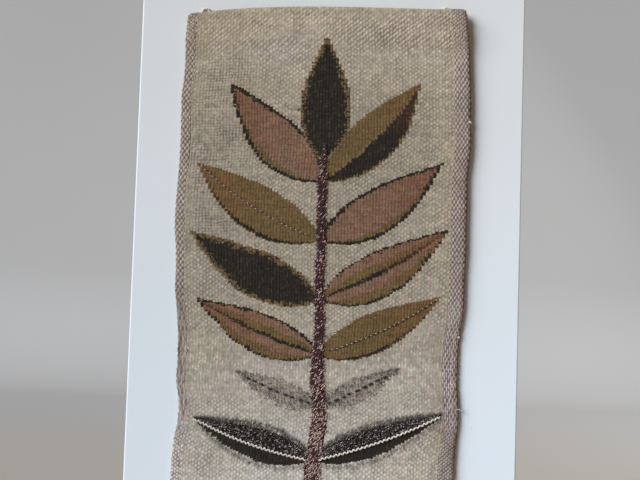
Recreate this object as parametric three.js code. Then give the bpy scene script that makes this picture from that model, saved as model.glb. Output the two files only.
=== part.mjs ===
// A handwoven tapestry strip on a flat painted board, with two yarn loops behind its top edge.
// Millimetres, +Z up, the front towards -Y. The origin is the centre of the board's back face.

import * as THREE from 'three';

// Board: a flat panel with lightly eased edges
const BOARD_WIDTH = 400;
const BOARD_HEIGHT = 960;
const BOARD_THICK = 18;
const BOARD_EASE = 1.5;
const EASE_STEPS = 3;

// Cloth: size, thickness and place. Distances down are from its top left corner.
const TOP_LEFT_BELOW_BOARD_TOP = 64;
const CLOTH_LENGTH = 846;
const CLOTH_THICK = 3;
const EDGE_ROUND = 0.9; // how far the front falls away at the very edge
const ROW_STEP = 10;
const FRONT = -BOARD_THICK;
const TOP_LEFT_Z = BOARD_HEIGHT / 2 - TOP_LEFT_BELOW_BOARD_TOP;

// The wefts rise to the right, and the top edge rises fast at first and then levels off
const WEFT_RISE = 12.4;
const TOP_RISE = 13.4;
const TOP_RISE_POWER = 4;
const TOP_RISE_FADE = 60;

// The top edge is turned to the back once
const HEM_DEPTH = 32;
const HEM_EXTRA = 1.8;
const HEM_END = 4;

// Gap between the board and the back of the cloth
const GAP_LEAST = 0.6;
const GAP_TOP = 2.5; // extra at the top edge, where the loops lie behind
const GAP_TOP_FADE = 40;
const CURL_START = 0.86; // share of the width where the right edge starts to lift

// Side edges: distance down, then x of the left and right edge
const SIDE_EDGES = [
  { down: 0, left: -151.7, right: 137.0 },
  { down: 25, left: -152.3, right: 139.4 },
  { down: 58, left: -152.9, right: 142.1 },
  { down: 90, left: -155.2, right: 143.4 },
  { down: 136, left: -154.5, right: 144.7 },
  { down: 175, left: -155.8, right: 142.7 },
  { down: 214, left: -157.1, right: 142.6 },
  { down: 250, left: -154.8, right: 142.6 },
  { down: 290, left: -153.2, right: 142.0 },
  { down: 321, left: -149.9, right: 140.6 },
  { down: 341, left: -148.4, right: 138.2 },
  { down: 382, left: -148.9, right: 137.4 },
  { down: 397, left: -146.0, right: 138.2 },
  { down: 422, left: -146.4, right: 139.2 },
  { down: 442, left: -150.1, right: 137.3 },
  { down: 472, left: -151.1, right: 135.1 },
  { down: 560, left: -152.2, right: 137.2 },
  { down: 640, left: -151.0, right: 139.0 },
  { down: 720, left: -152.8, right: 138.4 },
  { down: 800, left: -151.6, right: 137.0 },
  { down: 846, left: -150.4, right: 136.2 },
];

// Lift of the right edge off the board
const RIGHT_CURL = [
  { down: 0, lift: 2.0 },
  { down: 60, lift: 3.0 },
  { down: 180, lift: 2.4 },
  { down: 300, lift: 1.4 },
  { down: 350, lift: 0.5 },
  { down: 420, lift: 0.9 },
  { down: 520, lift: 1.6 },
  { down: 700, lift: 1.2 },
  { down: 846, lift: 1.8 },
];

// Shallow swells where the hand-beaten weave doesn't lie flat: centre, reach and height
const SWELLS = [
  { across: 0.12, down: 70, wide: 0.22, long: 60, lift: 0.9 },
  { across: 0.62, down: 170, wide: 0.3, long: 110, lift: 1.3 },
  { across: 0.2, down: 260, wide: 0.24, long: 70, lift: 0.7 },
  { across: 0.35, down: 388, wide: 0.4, long: 34, lift: 1.5 },
  { across: 0.8, down: 415, wide: 0.22, long: 45, lift: 0.8 },
  { across: 0.4, down: 540, wide: 0.35, long: 90, lift: 0.9 },
  { across: 0.66, down: 700, wide: 0.35, long: 90, lift: 1.0 },
];

// Columns of the sheet as shares of its width, closer together near the edges
const EDGE_COLUMNS = [0, 0.006, 0.03, 0.08];
const INNER_COLUMNS = 9;

// Yarn loops: place along the top edge, outer width, height above the edge
const LOOPS = [
  { name: 'loop_left', x: -133.4, width: 9.4, above: 4.6 },
  { name: 'loop_right', x: 117.0, width: 7.2, above: 3.2 },
];
const YARN_RADIUS = 1.1;
const YARN_SIDES = 8;
const LOOP_TAIL = 9; // hidden length of each leg below the edge
const LOOP_GAP = 0.3;
const LOOP_STEPS = 18;
const LOOP_BOW_STEPS = 8;

// Colours
const BOARD_PAINT = 0xd8dde2;
const GROUND_YARN = 0xb0a48f;
const LOOP_YARN = 0xa79d80;
const PAINT_ROUGHNESS = 0.5;
const YARN_ROUGHNESS = 0.95;

// Smooth curve through the rows of a table that are sorted by their column "down"
function along(table, column, down) {
  const last = table.length - 1;
  if (down <= table[0].down) return table[0][column];
  if (down >= table[last].down) return table[last][column];
  const i = table.findIndex((row) => row.down > down) - 1;
  const slope = (k) => {
    const a = table[Math.max(k - 1, 0)];
    const b = table[Math.min(k + 1, last)];
    return (b[column] - a[column]) / (b.down - a.down);
  };
  const span = table[i + 1].down - table[i].down;
  const t = (down - table[i].down) / span;
  const ease = t * t * (3 - 2 * t);
  const value = THREE.MathUtils.lerp(table[i][column], table[i + 1][column], ease);
  const leaving = t * (1 - t) ** 2 * span * slope(i);
  const arriving = t * t * (1 - t) * span * slope(i + 1);
  return value + leaving - arriving;
}

// How far the weft through a point lies above the same weft at the left edge
function weftRise(across, down) {
  const curved = TOP_RISE * (1 - (1 - across) ** TOP_RISE_POWER);
  const fade = Math.exp(-down / TOP_RISE_FADE);
  return curved * fade + WEFT_RISE * across * (1 - fade);
}

// Gap behind the cloth, without the hem
function gapBehind(across, down) {
  let gap = GAP_LEAST + GAP_TOP * Math.exp(-((down / GAP_TOP_FADE) ** 2));
  const curl = THREE.MathUtils.smoothstep(across, CURL_START, 1);
  gap += curl * along(RIGHT_CURL, 'lift', down);
  for (const swell of SWELLS) {
    const a = (across - swell.across) / swell.wide;
    const d = (down - swell.down) / swell.long;
    gap += swell.lift * Math.exp(-(a * a + d * d) * 2);
  }
  return gap;
}

// One point of the sheet's back or front
function clothPoint(across, down, isFront) {
  const left = along(SIDE_EDGES, 'left', down);
  const right = along(SIDE_EDGES, 'right', down);
  const x = THREE.MathUtils.lerp(left, right, across);
  const z = TOP_LEFT_Z - down + weftRise(across, down);
  const hem = HEM_EXTRA * (1 - THREE.MathUtils.smoothstep(down, HEM_DEPTH, HEM_DEPTH + HEM_END));
  const gap = gapBehind(across, down);
  if (!isFront) return [x, FRONT - gap, z];
  const fromSide = Math.min(across, 1 - across) * (right - left);
  const fromEnd = Math.min(down, CLOTH_LENGTH - down);
  const edge = Math.exp(-Math.min(fromSide, fromEnd) / EDGE_ROUND);
  return [x, FRONT - gap - CLOTH_THICK - hem + edge * EDGE_ROUND, z];
}

// Shares across of the sheet's columns: even, with the edge columns at both sides
function clothColumns() {
  const inset = EDGE_COLUMNS[EDGE_COLUMNS.length - 1];
  const inner = [];
  for (let i = 1; i < INNER_COLUMNS; i++) {
    inner.push(THREE.MathUtils.lerp(inset, 1 - inset, i / INNER_COLUMNS));
  }
  return [...EDGE_COLUMNS, ...inner, ...EDGE_COLUMNS.map((share) => 1 - share).reverse()];
}

// Distances down of the sheet's rows: even, with extra rows at both ends and at the hem
function clothRows() {
  const rows = [0, EDGE_ROUND * 2, HEM_DEPTH, HEM_DEPTH + HEM_END];
  for (let down = ROW_STEP; down < CLOTH_LENGTH - ROW_STEP / 2; down += ROW_STEP) {
    if (Math.abs(down - HEM_DEPTH) > HEM_END) rows.push(down);
  }
  rows.push(CLOTH_LENGTH - EDGE_ROUND * 2, CLOTH_LENGTH);
  return rows.sort((a, b) => a - b);
}

// Closed sheet: a front and a back grid, joined by a strip of faces round the rim
function clothGeometry() {
  const rows = clothRows();
  const shares = clothColumns();
  const columns = shares.length;
  const positions = [];
  for (const isFront of [true, false]) {
    for (const down of rows) {
      for (const across of shares) positions.push(...clothPoint(across, down, isFront));
    }
  }
  const backStart = rows.length * columns;
  const indices = [];
  const quad = (a, b, c, d) => indices.push(a, b, c, a, c, d);
  for (let r = 0; r + 1 < rows.length; r++) {
    for (let c = 0; c + 1 < columns; c++) {
      const a = r * columns + c;
      quad(a, a + columns, a + columns + 1, a + 1);
      quad(backStart + a, backStart + a + 1, backStart + a + columns + 1, backStart + a + columns);
    }
  }
  const rim = [];
  for (let c = 0; c + 1 < columns; c++) rim.push(c);
  for (let r = 0; r + 1 < rows.length; r++) rim.push(r * columns + columns - 1);
  for (let c = columns - 1; c > 0; c--) rim.push((rows.length - 1) * columns + c);
  for (let r = rows.length - 1; r > 0; r--) rim.push(r * columns);
  rim.forEach((a, i) => {
    const b = rim[(i + 1) % rim.length];
    quad(a, b, backStart + b, backStart + a);
  });
  const geometry = new THREE.BufferGeometry();
  geometry.setAttribute('position', new THREE.Float32BufferAttribute(positions, 3));
  geometry.setIndex(indices);
  geometry.computeVertexNormals();
  return geometry;
}

// Flat panel with eased edges, its back face at y = 0
function boardGeometry() {
  const w = BOARD_WIDTH / 2 - BOARD_EASE;
  const h = BOARD_HEIGHT / 2 - BOARD_EASE;
  const face = new THREE.Shape([
    new THREE.Vector2(-w, -h),
    new THREE.Vector2(w, -h),
    new THREE.Vector2(w, h),
    new THREE.Vector2(-w, h),
  ]);
  const geometry = new THREE.ExtrudeGeometry(face, {
    depth: BOARD_THICK - 2 * BOARD_EASE,
    bevelSize: BOARD_EASE,
    bevelThickness: BOARD_EASE,
    bevelSegments: EASE_STEPS,
  });
  geometry.rotateX(Math.PI / 2);
  geometry.translate(0, -BOARD_EASE, 0);
  return geometry;
}

// Height of the cloth's top edge at x
function topEdgeZ(x) {
  const across = (x - SIDE_EDGES[0].left) / (SIDE_EDGES[0].right - SIDE_EDGES[0].left);
  return TOP_LEFT_Z + weftRise(across, 0);
}

// Yarn loop behind the cloth: two legs and a round top
function loopGeometry(loop) {
  const reach = loop.width / 2 - YARN_RADIUS;
  const edge = topEdgeZ(loop.x);
  const crown = edge + loop.above - YARN_RADIUS;
  const y = FRONT - LOOP_GAP - YARN_RADIUS;
  const spring = crown - reach;
  const route = new THREE.CurvePath();
  const at = (dx, z) => new THREE.Vector3(loop.x + dx, y, z);
  route.add(new THREE.LineCurve3(at(-reach, edge - LOOP_TAIL), at(-reach, spring)));
  const bow = [];
  for (let i = 0; i <= LOOP_BOW_STEPS; i++) {
    const turn = (Math.PI * i) / LOOP_BOW_STEPS;
    bow.push(at(-reach * Math.cos(turn), spring + reach * Math.sin(turn)));
  }
  route.add(new THREE.CatmullRomCurve3(bow));
  route.add(new THREE.LineCurve3(at(reach, spring), at(reach, edge - LOOP_TAIL)));
  const section = new THREE.Shape();
  section.absarc(0, 0, YARN_RADIUS, 0, 2 * Math.PI);
  return new THREE.ExtrudeGeometry(section, {
    steps: LOOP_STEPS,
    curveSegments: YARN_SIDES / 2,
    extrudePath: route,
  });
}

function part(name, geometry, color, roughness) {
  const material = new THREE.MeshStandardMaterial({ color, roughness, metalness: 0 });
  const mesh = new THREE.Mesh(geometry, material);
  mesh.name = name;
  return mesh;
}

const tapestry = new THREE.Group();
tapestry.add(part('board', boardGeometry(), BOARD_PAINT, PAINT_ROUGHNESS));
tapestry.add(part('tapestry', clothGeometry(), GROUND_YARN, YARN_ROUGHNESS));
for (const loop of LOOPS) tapestry.add(part(loop.name, loopGeometry(loop), LOOP_YARN, YARN_ROUGHNESS));

export default tapestry;
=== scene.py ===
"""A handwoven tapestry strip on its painted board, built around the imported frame."""

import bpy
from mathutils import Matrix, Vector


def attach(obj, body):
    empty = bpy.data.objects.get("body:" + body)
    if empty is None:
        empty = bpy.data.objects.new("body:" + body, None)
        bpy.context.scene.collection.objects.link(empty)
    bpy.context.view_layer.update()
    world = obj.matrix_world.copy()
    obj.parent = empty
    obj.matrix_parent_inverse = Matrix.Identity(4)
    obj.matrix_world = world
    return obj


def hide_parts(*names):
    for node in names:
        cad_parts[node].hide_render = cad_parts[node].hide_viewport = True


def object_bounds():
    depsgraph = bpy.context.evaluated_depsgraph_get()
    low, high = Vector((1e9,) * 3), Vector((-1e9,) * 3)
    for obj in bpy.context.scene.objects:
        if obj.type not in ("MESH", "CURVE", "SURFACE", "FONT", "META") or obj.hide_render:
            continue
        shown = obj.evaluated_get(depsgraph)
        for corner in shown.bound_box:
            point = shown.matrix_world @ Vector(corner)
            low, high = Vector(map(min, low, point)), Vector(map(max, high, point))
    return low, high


bl_info = {
    "name": "Handwoven Tapestry on a Board",
    "version": (1, 0, 0),
    "blender": (4, 5, 0),
    "location": "View3D > Sidebar > Tapestry",
    "description": "Weaves a tapestry strip with selvages, worked stem, pile and loops on a painted board",
    "category": "Add Mesh",
}

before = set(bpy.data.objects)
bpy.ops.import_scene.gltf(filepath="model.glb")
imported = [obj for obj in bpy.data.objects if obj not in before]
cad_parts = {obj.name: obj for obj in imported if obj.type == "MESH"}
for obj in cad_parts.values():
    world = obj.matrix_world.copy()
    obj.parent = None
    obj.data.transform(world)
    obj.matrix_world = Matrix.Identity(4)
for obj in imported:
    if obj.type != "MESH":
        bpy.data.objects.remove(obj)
CAD_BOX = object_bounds()

import math
import random

import bpy
import numpy as np
from mathutils import Matrix, Vector

MM = 0.001

# The cloth on its board, in millimetres. Distances down start at its top left corner.
BOARD_FRONT = 18.0
TOP_LEFT_Z = 416.0
CLOTH_LENGTH = 846.0
CLOTH_THICK = 3.0
WEFT_RISE = 12.4
TOP_RISE = 13.4
TOP_RISE_POWER = 4
TOP_RISE_FADE = 60.0
HEM_DEPTH = 32.0
HEM_EXTRA = 1.8
HEM_END = 12.0
GAP_LEAST = 0.6
GAP_TOP = 2.5
GAP_TOP_FADE = 40.0
CURL_START = 0.86
CORNER_REACH = 3.0
CORNER_ROUND = 1.1

# Side edges: distance down, then x of the left and right edge
SIDE_EDGES = [
    {"down": 0, "left": -151.7, "right": 137.0},
    {"down": 25, "left": -152.3, "right": 139.4},
    {"down": 58, "left": -152.9, "right": 142.1},
    {"down": 90, "left": -155.2, "right": 143.4},
    {"down": 136, "left": -154.5, "right": 144.7},
    {"down": 175, "left": -155.8, "right": 142.7},
    {"down": 214, "left": -157.1, "right": 142.6},
    {"down": 250, "left": -154.8, "right": 142.6},
    {"down": 290, "left": -153.2, "right": 142.0},
    {"down": 321, "left": -149.9, "right": 140.6},
    {"down": 341, "left": -148.4, "right": 138.2},
    {"down": 382, "left": -148.9, "right": 137.4},
    {"down": 397, "left": -146.0, "right": 138.2},
    {"down": 422, "left": -146.4, "right": 139.2},
    {"down": 442, "left": -150.1, "right": 137.3},
    {"down": 472, "left": -151.1, "right": 135.1},
    {"down": 560, "left": -152.2, "right": 137.2},
    {"down": 640, "left": -151.0, "right": 139.0},
    {"down": 720, "left": -152.8, "right": 138.4},
    {"down": 800, "left": -151.6, "right": 137.0},
    {"down": 846, "left": -150.4, "right": 136.2},
]

# Lift of the right edge off the board
RIGHT_CURL = [
    {"down": 0, "lift": 2.4},
    {"down": 60, "lift": 3.8},
    {"down": 180, "lift": 3.2},
    {"down": 300, "lift": 2.0},
    {"down": 350, "lift": 0.7},
    {"down": 420, "lift": 1.2},
    {"down": 520, "lift": 2.0},
    {"down": 700, "lift": 1.4},
    {"down": 846, "lift": 1.8},
]

# Shallow swells of the hand-beaten cloth: centre, reach and height
SWELLS = [
    {"across": 0.12, "down": 70, "wide": 0.22, "long": 60, "lift": 0.9},
    {"across": 0.62, "down": 170, "wide": 0.30, "long": 110, "lift": 1.3},
    {"across": 0.20, "down": 260, "wide": 0.24, "long": 70, "lift": 0.7},
    {"across": 0.35, "down": 388, "wide": 0.40, "long": 34, "lift": 1.5},
    {"across": 0.80, "down": 415, "wide": 0.22, "long": 45, "lift": 0.8},
    {"across": 0.40, "down": 540, "wide": 0.35, "long": 90, "lift": 0.9},
    {"across": 0.66, "down": 700, "wide": 0.35, "long": 90, "lift": 1.0},
]

# Soft troughs where a weft was pulled tight: ends in the design, width and depth, and their bow
CREASES = [
    {"x0": -136, "down0": 342, "x1": -50, "down1": 362, "wide": 1.6, "depth": 0.8},
    {"x0": -128, "down0": 330, "x1": -84, "down1": 338, "wide": 1.8, "depth": 0.5},
    {"x0": 64, "down0": 352, "x1": 128, "down1": 346, "wide": 2.2, "depth": 0.5},
    {"x0": -134, "down0": 404, "x1": -64, "down1": 398, "wide": 2.6, "depth": 0.6},
    {"x0": 20, "down0": 612, "x1": 120, "down1": 604, "wide": 2.4, "depth": 0.5},
    {"x0": -130, "down0": 690, "x1": -30, "down1": 697, "wide": 2.4, "depth": 0.5},
]
CREASE_BOW = 3.0

# Weave: ribs run down the cloth, one over each warp, and two rows make one bead of weft
RIBS = 94
ROWS = 378
RIB = 3.1
ROW = CLOTH_LENGTH / ROWS
FIRST_RIB = 3
LAST_RIB = 89
HIDDEN_RIBS_LEFT = (0.5, 1.8)
HIDDEN_RIBS_RIGHT = (90.4, 93.5)
HIDDEN_HEIGHT = -1.4
RIM_HEIGHT = -0.9
BACK_STEP = 6

# Height of the weave over the cloth's front, and how unevenly a hand weaves it
BEAD_TOP = 0.25
BEAD_JOINT = -0.08
BEAD_RIDGE = -0.16
BEAD_GROOVE = -0.27
SQUARE_TOP = 0.17
SQUARE_JOINT = -0.05
SQUARE_GROOVE = -0.20
FLOAT_TOP = 0.13
FLOAT_GROOVE = -0.13
FLOAT_ROWS = 6
MOTIF_TOP = 0.12
MOTIF_GROOVE = -0.24
BEAD_UNEVEN = 0.10
MOTIF_UNEVEN = 0.05
SHEET_UNEVEN = 0.18
RIB_WANDER = 0.16
ROW_WANDER = 0.4

# How strongly the ground's beads show, by distance down
GROUND_CONTRAST = [
    {"down": 0, "share": 0.26},
    {"down": 8, "share": 0.56},
    {"down": 30, "share": 0.58},
    {"down": 55, "share": 0.60},
    {"down": 300, "share": 0.60},
    {"down": 350, "share": 0.52},
    {"down": 400, "share": 0.50},
    {"down": 440, "share": 0.60},
    {"down": 480, "share": 0.64},
    {"down": 846, "share": 0.60},
]

# How much stronger they are on the turned top edge, which grows from left to right
HEM_CONTRAST = {"left": -30.0, "right": 80.0, "share": 1.6, "end": 46.0}

# Where the ground is woven in small squares and how strongly they show, and where its wefts float.
# The edges of these places fade over a soft width and sway.
SQUARE_CONTRAST = 0.74
SQUARE_ZONE = {"left": -140.0, "right": -66.0, "top": 32.0, "bottom": 250.0, "soft": 16.0, "sway": 8.0}
FLOAT_ZONE = {"top": 322.0, "bottom": 392.0, "soft": 10.0, "sway": 5.0}

# Tone of the ground yarn by distance down, as factors of its colour; the paler, bluer rows from 420 down are
# partly painted bluish light
GROUND_TONES_AND_LIGHT = [
    {"down": 0, "red": 0.96, "green": 0.98, "blue": 0.90},
    {"down": 6, "red": 1.15, "green": 1.14, "blue": 1.13},
    {"down": 36, "red": 1.20, "green": 1.21, "blue": 1.24},
    {"down": 80, "red": 0.99, "green": 0.99, "blue": 0.98},
    {"down": 200, "red": 0.93, "green": 0.94, "blue": 0.95},
    {"down": 300, "red": 0.97, "green": 0.99, "blue": 1.02},
    {"down": 360, "red": 1.01, "green": 1.02, "blue": 1.12},
    {"down": 420, "red": 1.18, "green": 1.25, "blue": 1.41},
    {"down": 480, "red": 1.30, "green": 1.39, "blue": 1.61},
    {"down": 760, "red": 1.20, "green": 1.25, "blue": 1.36},
    {"down": 846, "red": 1.12, "green": 1.12, "blue": 1.14},
]

# Stains, faded patches and darker yarn, and painted shade by the right edge: centre in the design, reach and
# colour factors
DYE_SPOTS = [
    {"x": -132, "down": 24, "wide": 16, "long": 26, "red": 0.80, "green": 0.76, "blue": 0.70},
    {"x": -90, "down": 16, "wide": 34, "long": 14, "red": 0.95, "green": 0.90, "blue": 0.86},
    {"x": -147, "down": 26, "wide": 10, "long": 34, "red": 0.84, "green": 0.82, "blue": 0.78},
    {"x": -50, "down": 36, "wide": 26, "long": 10, "red": 1.04, "green": 1.06, "blue": 1.12},
    {"x": -28, "down": 25, "wide": 4, "long": 3, "red": 0.70, "green": 0.68, "blue": 0.60},
    {"x": -112, "down": 230, "wide": 26, "long": 60, "red": 0.90, "green": 0.90, "blue": 0.92},
    {"x": -120, "down": 352, "wide": 24, "long": 26, "red": 0.96, "green": 1.00, "blue": 0.92},
    {"x": -60, "down": 372, "wide": 44, "long": 14, "red": 1.08, "green": 1.07, "blue": 1.12},
    {"x": 60, "down": 372, "wide": 60, "long": 30, "red": 1.02, "green": 1.04, "blue": 1.04},
    {"x": -104, "down": 452, "wide": 17, "long": 20, "red": 0.88, "green": 0.86, "blue": 0.84},
    {"x": -82, "down": 442, "wide": 9, "long": 7, "red": 1.02, "green": 0.94, "blue": 0.96},
    {"x": -20, "down": 452, "wide": 50, "long": 34, "red": 1.10, "green": 1.14, "blue": 1.20},
    {"x": 104, "down": 470, "wide": 44, "long": 40, "red": 0.97, "green": 0.94, "blue": 0.88},
    # The spots at x 130 to 136 are painted shade of the right edge, which turns away from the light
    {"x": 130, "down": 400, "wide": 14, "long": 60, "red": 0.90, "green": 0.85, "blue": 0.84},
    {"x": 134, "down": 200, "wide": 16, "long": 120, "red": 0.92, "green": 0.87, "blue": 0.84},
    {"x": 134, "down": 30, "wide": 16, "long": 30, "red": 0.81, "green": 0.75, "blue": 0.70},
    {"x": 136, "down": 452, "wide": 15, "long": 38, "red": 0.65, "green": 0.63, "blue": 0.59},
    {"x": -145, "down": 66, "wide": 14, "long": 40, "red": 0.80, "green": 0.79, "blue": 0.74},
    {"x": -146, "down": 354, "wide": 11, "long": 64, "red": 0.50, "green": 0.46, "blue": 0.41},
    {"x": -146, "down": 349, "wide": 5, "long": 4, "red": 0.45, "green": 0.42, "blue": 0.34},
    {"x": 30, "down": 620, "wide": 60, "long": 50, "red": 1.06, "green": 1.08, "blue": 1.10},
    {"x": -70, "down": 700, "wide": 40, "long": 60, "red": 0.93, "green": 0.91, "blue": 0.89},
]

# How ragged those spots are, and how uneven the dye is in patches and in bands
SPOT_RAGGED = 0.35
DYE_PATCHES = 0.045
DYE_BANDS = 0.03

# How a leaf is woven: bands of yarn from its lower edge (0) to its upper edge (1), the outline's
# yarn and width, how far picks of two colours interlock, the share of its lower half, the strength
# of its tip colour, and whether its midrib is stitched
LEAF_STYLES = {
    "pink_leaf": {"bands": [("olive", 0.0), ("pink", 0.17)], "outline": "charcoal", "edge": 3.4,
                  "hatch": 1.1, "lower": 1.0, "tip": 0.75, "stitched": False},
    "dark_leaf": {"bands": [("charcoal", 0.0)], "outline": "gold", "edge": 3.2,
                  "hatch": 4.2, "lower": 1.0, "tip": 0.0, "stitched": False},
    "olive_leaf": {"bands": [("charcoal", 0.0), ("olive", 0.09)], "outline": "gold", "edge": 0.7,
                   "hatch": 0.8, "lower": 1.0, "tip": 0.55, "stitched": True},
    "split_leaf": {"bands": [("charcoal", 0.0), ("gold", 0.46), ("olive", 0.53)], "outline": "gold",
                   "edge": 1.6, "hatch": 1.8, "lower": 1.0, "tip": 0.3, "stitched": False},
    "striped_leaf": {"bands": [("olive", 0.0), ("pink", 0.24), ("charcoal", 0.47), ("olive", 0.56),
                               ("pink", 0.74)],
                     "outline": "charcoal", "edge": 2.2, "hatch": 1.6, "lower": 1.0, "tip": 0.5,
                     "stitched": False},
    "pile_leaf": {"bands": [("charcoal", 0.0), ("pile", 0.5)], "outline": "pile", "edge": 0.6,
                  "hatch": 1.0, "lower": 0.8, "tip": 0.0, "stitched": False},
    "pale_leaf": {"bands": [("haze", 0.0)], "outline": "haze", "edge": 0.5,
                  "hatch": 4.0, "lower": 1.0, "tip": 0.0, "stitched": False},
}

# Leaves of the branch: where each leaves the stem, its side, lean from upright, size and bend
LEAVES = [
    {"style": "dark_leaf", "root": 154, "side": 1, "lean": 0, "length": 126, "half": 26, "bend": 0.00},
    {"style": "pink_leaf", "root": 174, "side": -1, "lean": 44, "length": 138, "half": 25, "bend": 0.10},
    {"style": "split_leaf", "root": 174, "side": 1, "lean": 44, "length": 138, "half": 25, "bend": 0.10},
    {"style": "olive_leaf", "root": 236, "side": -1, "lean": 57, "length": 152, "half": 24, "bend": 0.10},
    {"style": "pink_leaf", "root": 236, "side": 1, "lean": 57, "length": 144, "half": 24, "bend": 0.10},
    {"style": "dark_leaf", "root": 297, "side": -1, "lean": 61, "length": 150, "half": 24, "bend": 0.10},
    {"style": "striped_leaf", "root": 297, "side": 1, "lean": 61, "length": 146, "half": 24, "bend": 0.10},
    {"style": "striped_leaf", "root": 352, "side": -1, "lean": 65, "length": 138, "half": 21, "bend": 0.10},
    {"style": "olive_leaf", "root": 352, "side": 1, "lean": 65, "length": 136, "half": 21, "bend": 0.10},
    {"style": "pale_leaf", "root": 404, "side": -1, "lean": 67, "length": 92, "half": 12, "bend": 0.06},
    {"style": "pale_leaf", "root": 404, "side": 1, "lean": 67, "length": 92, "half": 12, "bend": 0.06},
    {"style": "pile_leaf", "root": 460, "side": -1, "lean": 71, "length": 136, "half": 17, "bend": 0.07},
    {"style": "pile_leaf", "root": 460, "side": 1, "lean": 71, "length": 136, "half": 17, "bend": 0.07},
]

# Ground round a leaf that its material covers, the leaf's outline, its fine picks of weft, where its
# tip colour starts, and the colour of the pale leaves
LEAF_MARGIN = 4.0
LEAF_SWELL = 0.78
LEAF_BLUNT = 0.92
PICKS_PER_BEAD = 5.0
TIP_START = 0.45
HAZE = (0.37, 0.32, 0.275)

# Brushed hairs on a leaf: how many, where they are rooted in parts of its half width, how far they
# are combed up, their radius and their yarn (0 dark, 1 mauve grey). Then how far they drift to the
# sides, how high they rise, how their thickness varies, and the knots between them.
BRUSHED_HAIRS = [
    {"style": "pile_leaf", "count": 1000, "from": 0.10, "to": 0.98, "short": 0.8, "long": 3.4,
     "radius": 0.26, "slot": 0},
    {"style": "pile_leaf", "count": 620, "from": 0.86, "to": 1.30, "short": 1.5, "long": 5.0,
     "radius": 0.19, "slot": 1},
    {"style": "pile_leaf", "count": 260, "from": -1.30, "to": -0.92, "short": -5.0, "long": -1.5,
     "radius": 0.14, "slot": 1},
    {"style": "pale_leaf", "count": 460, "from": -1.18, "to": 1.18, "short": -2.4, "long": 3.0,
     "radius": 0.26, "slot": 1},
]
HAIR_DRIFT = 2.2
HAIR_RISE = (0.4, 1.3)
HAIR_THICKNESS = (0.7, 1.3)
PILE_KNOTS = {"count": 900, "off": (0.12, 0.95), "radius": (0.3, 0.5)}

# Stem: half its width by distance down
STEM = [
    {"down": 138, "half": 0.5},
    {"down": 152, "half": 3.2},
    {"down": 230, "half": 3.8},
    {"down": 340, "half": 4.6},
    {"down": 380, "half": 6.6},
    {"down": 440, "half": 7.6},
    {"down": 560, "half": 7.0},
    {"down": 740, "half": 6.0},
    {"down": 800, "half": 3.0},
    {"down": 812, "half": 0.5},
]
STEM_SWAY = 1.2
STEM_SWAY_PITCH = 14.0
STEM_OUTSIDE = -9.0

# Wraps of the stem: where they start and end beyond and before its tips, how ragged its edges are,
# spacing, reach to each side, slope, lift and radius, and the share of pale wraps above and below; their pale
# colour is partly the yarn's and partly painted highlight
WRAPS = {"start": 14.0, "end": 6.0, "ragged": (-1.5, 1.9), "step": (1.3, 1.7), "apart": 1.9,
         "reach": (0.8, 1.4), "tilt": (0.5, 1.4), "lift": (0.4, 1.1), "radius": (0.34, 0.54),
         "pale": (0.22, 0.62), "pale_from": (330.0, 430.0)}
STRAYS = {"share": 0.55, "reach": (1.0, 4.2), "drop": (-1.5, 3.5), "radius": 0.2}

# Twisted cord of the pile leaves, then the running stitches with a pale one after each dark one
CORD = {"above": 1.1, "radius": 0.95, "twist": 4.4, "swing": 0.8, "half_swing": 2.3}
STITCHES = {"pitch": 5.2, "dark": 0.46, "pale": 0.36}

# Pieces of the pale leaves' dark veins, in shares of a leaf, and stitches of the turned top edge
VEINS = {"start": 0.1, "end": 0.86, "length": (0.035, 0.06), "step": (0.07, 0.10), "radius": (1.0, 1.5)}
HEM_STITCHES = {"left": -132.0, "right": 122.0, "step": (14.0, 48.0), "reach": (0.8, 1.6),
                "radius": (0.14, 0.22)}

# Material slots of the cloth: the ground, one for each leaf, then the stem and the back
GROUND_SLOT = 0
STEM_SLOT = len(LEAVES) + 1
BACK_SLOT = len(LEAVES) + 2

# Selvages: side, width, columns of beads across it, how far their edge rolls back, how much its outer edge is
# darkened by soil and painted shade, how many beads go to a cell where they are drawn out into chains, and
# how much yarn fills the gaps
SELVAGES = [
    {"name": "selvage_left", "side": -1, "width": 11.4, "columns": 5, "roll": 0.6, "soil_and_shade": 0.12,
     "chains": 0.30, "soft": 0.0},
    {"name": "selvage_right", "side": 1, "width": 17.5, "columns": 9, "roll": 0.8, "soil_and_shade": 0.56,
     "chains": 0.85, "soft": 0.05},
]

# Share of red, green and blue that soil and painted shade take and where they lie in the width, length of a
# cell, lines of points to a cell, height of its dome, and how the outer edge waves with the beads, is ragged
# and sways
SOIL_AND_SHADE_TINT = (0.66, 0.95, 1.08)
SOIL_AND_SHADE_REACH = (0.76, 0.98)
SELVAGE_BEAD = 6.5
SELVAGE_STEPS = 4
SELVAGE_DOME = 0.48
SELVAGE_WAVE = 0.35
SELVAGE_RAGGED = 0.2
SELVAGE_SWAY = 0.45

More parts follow.
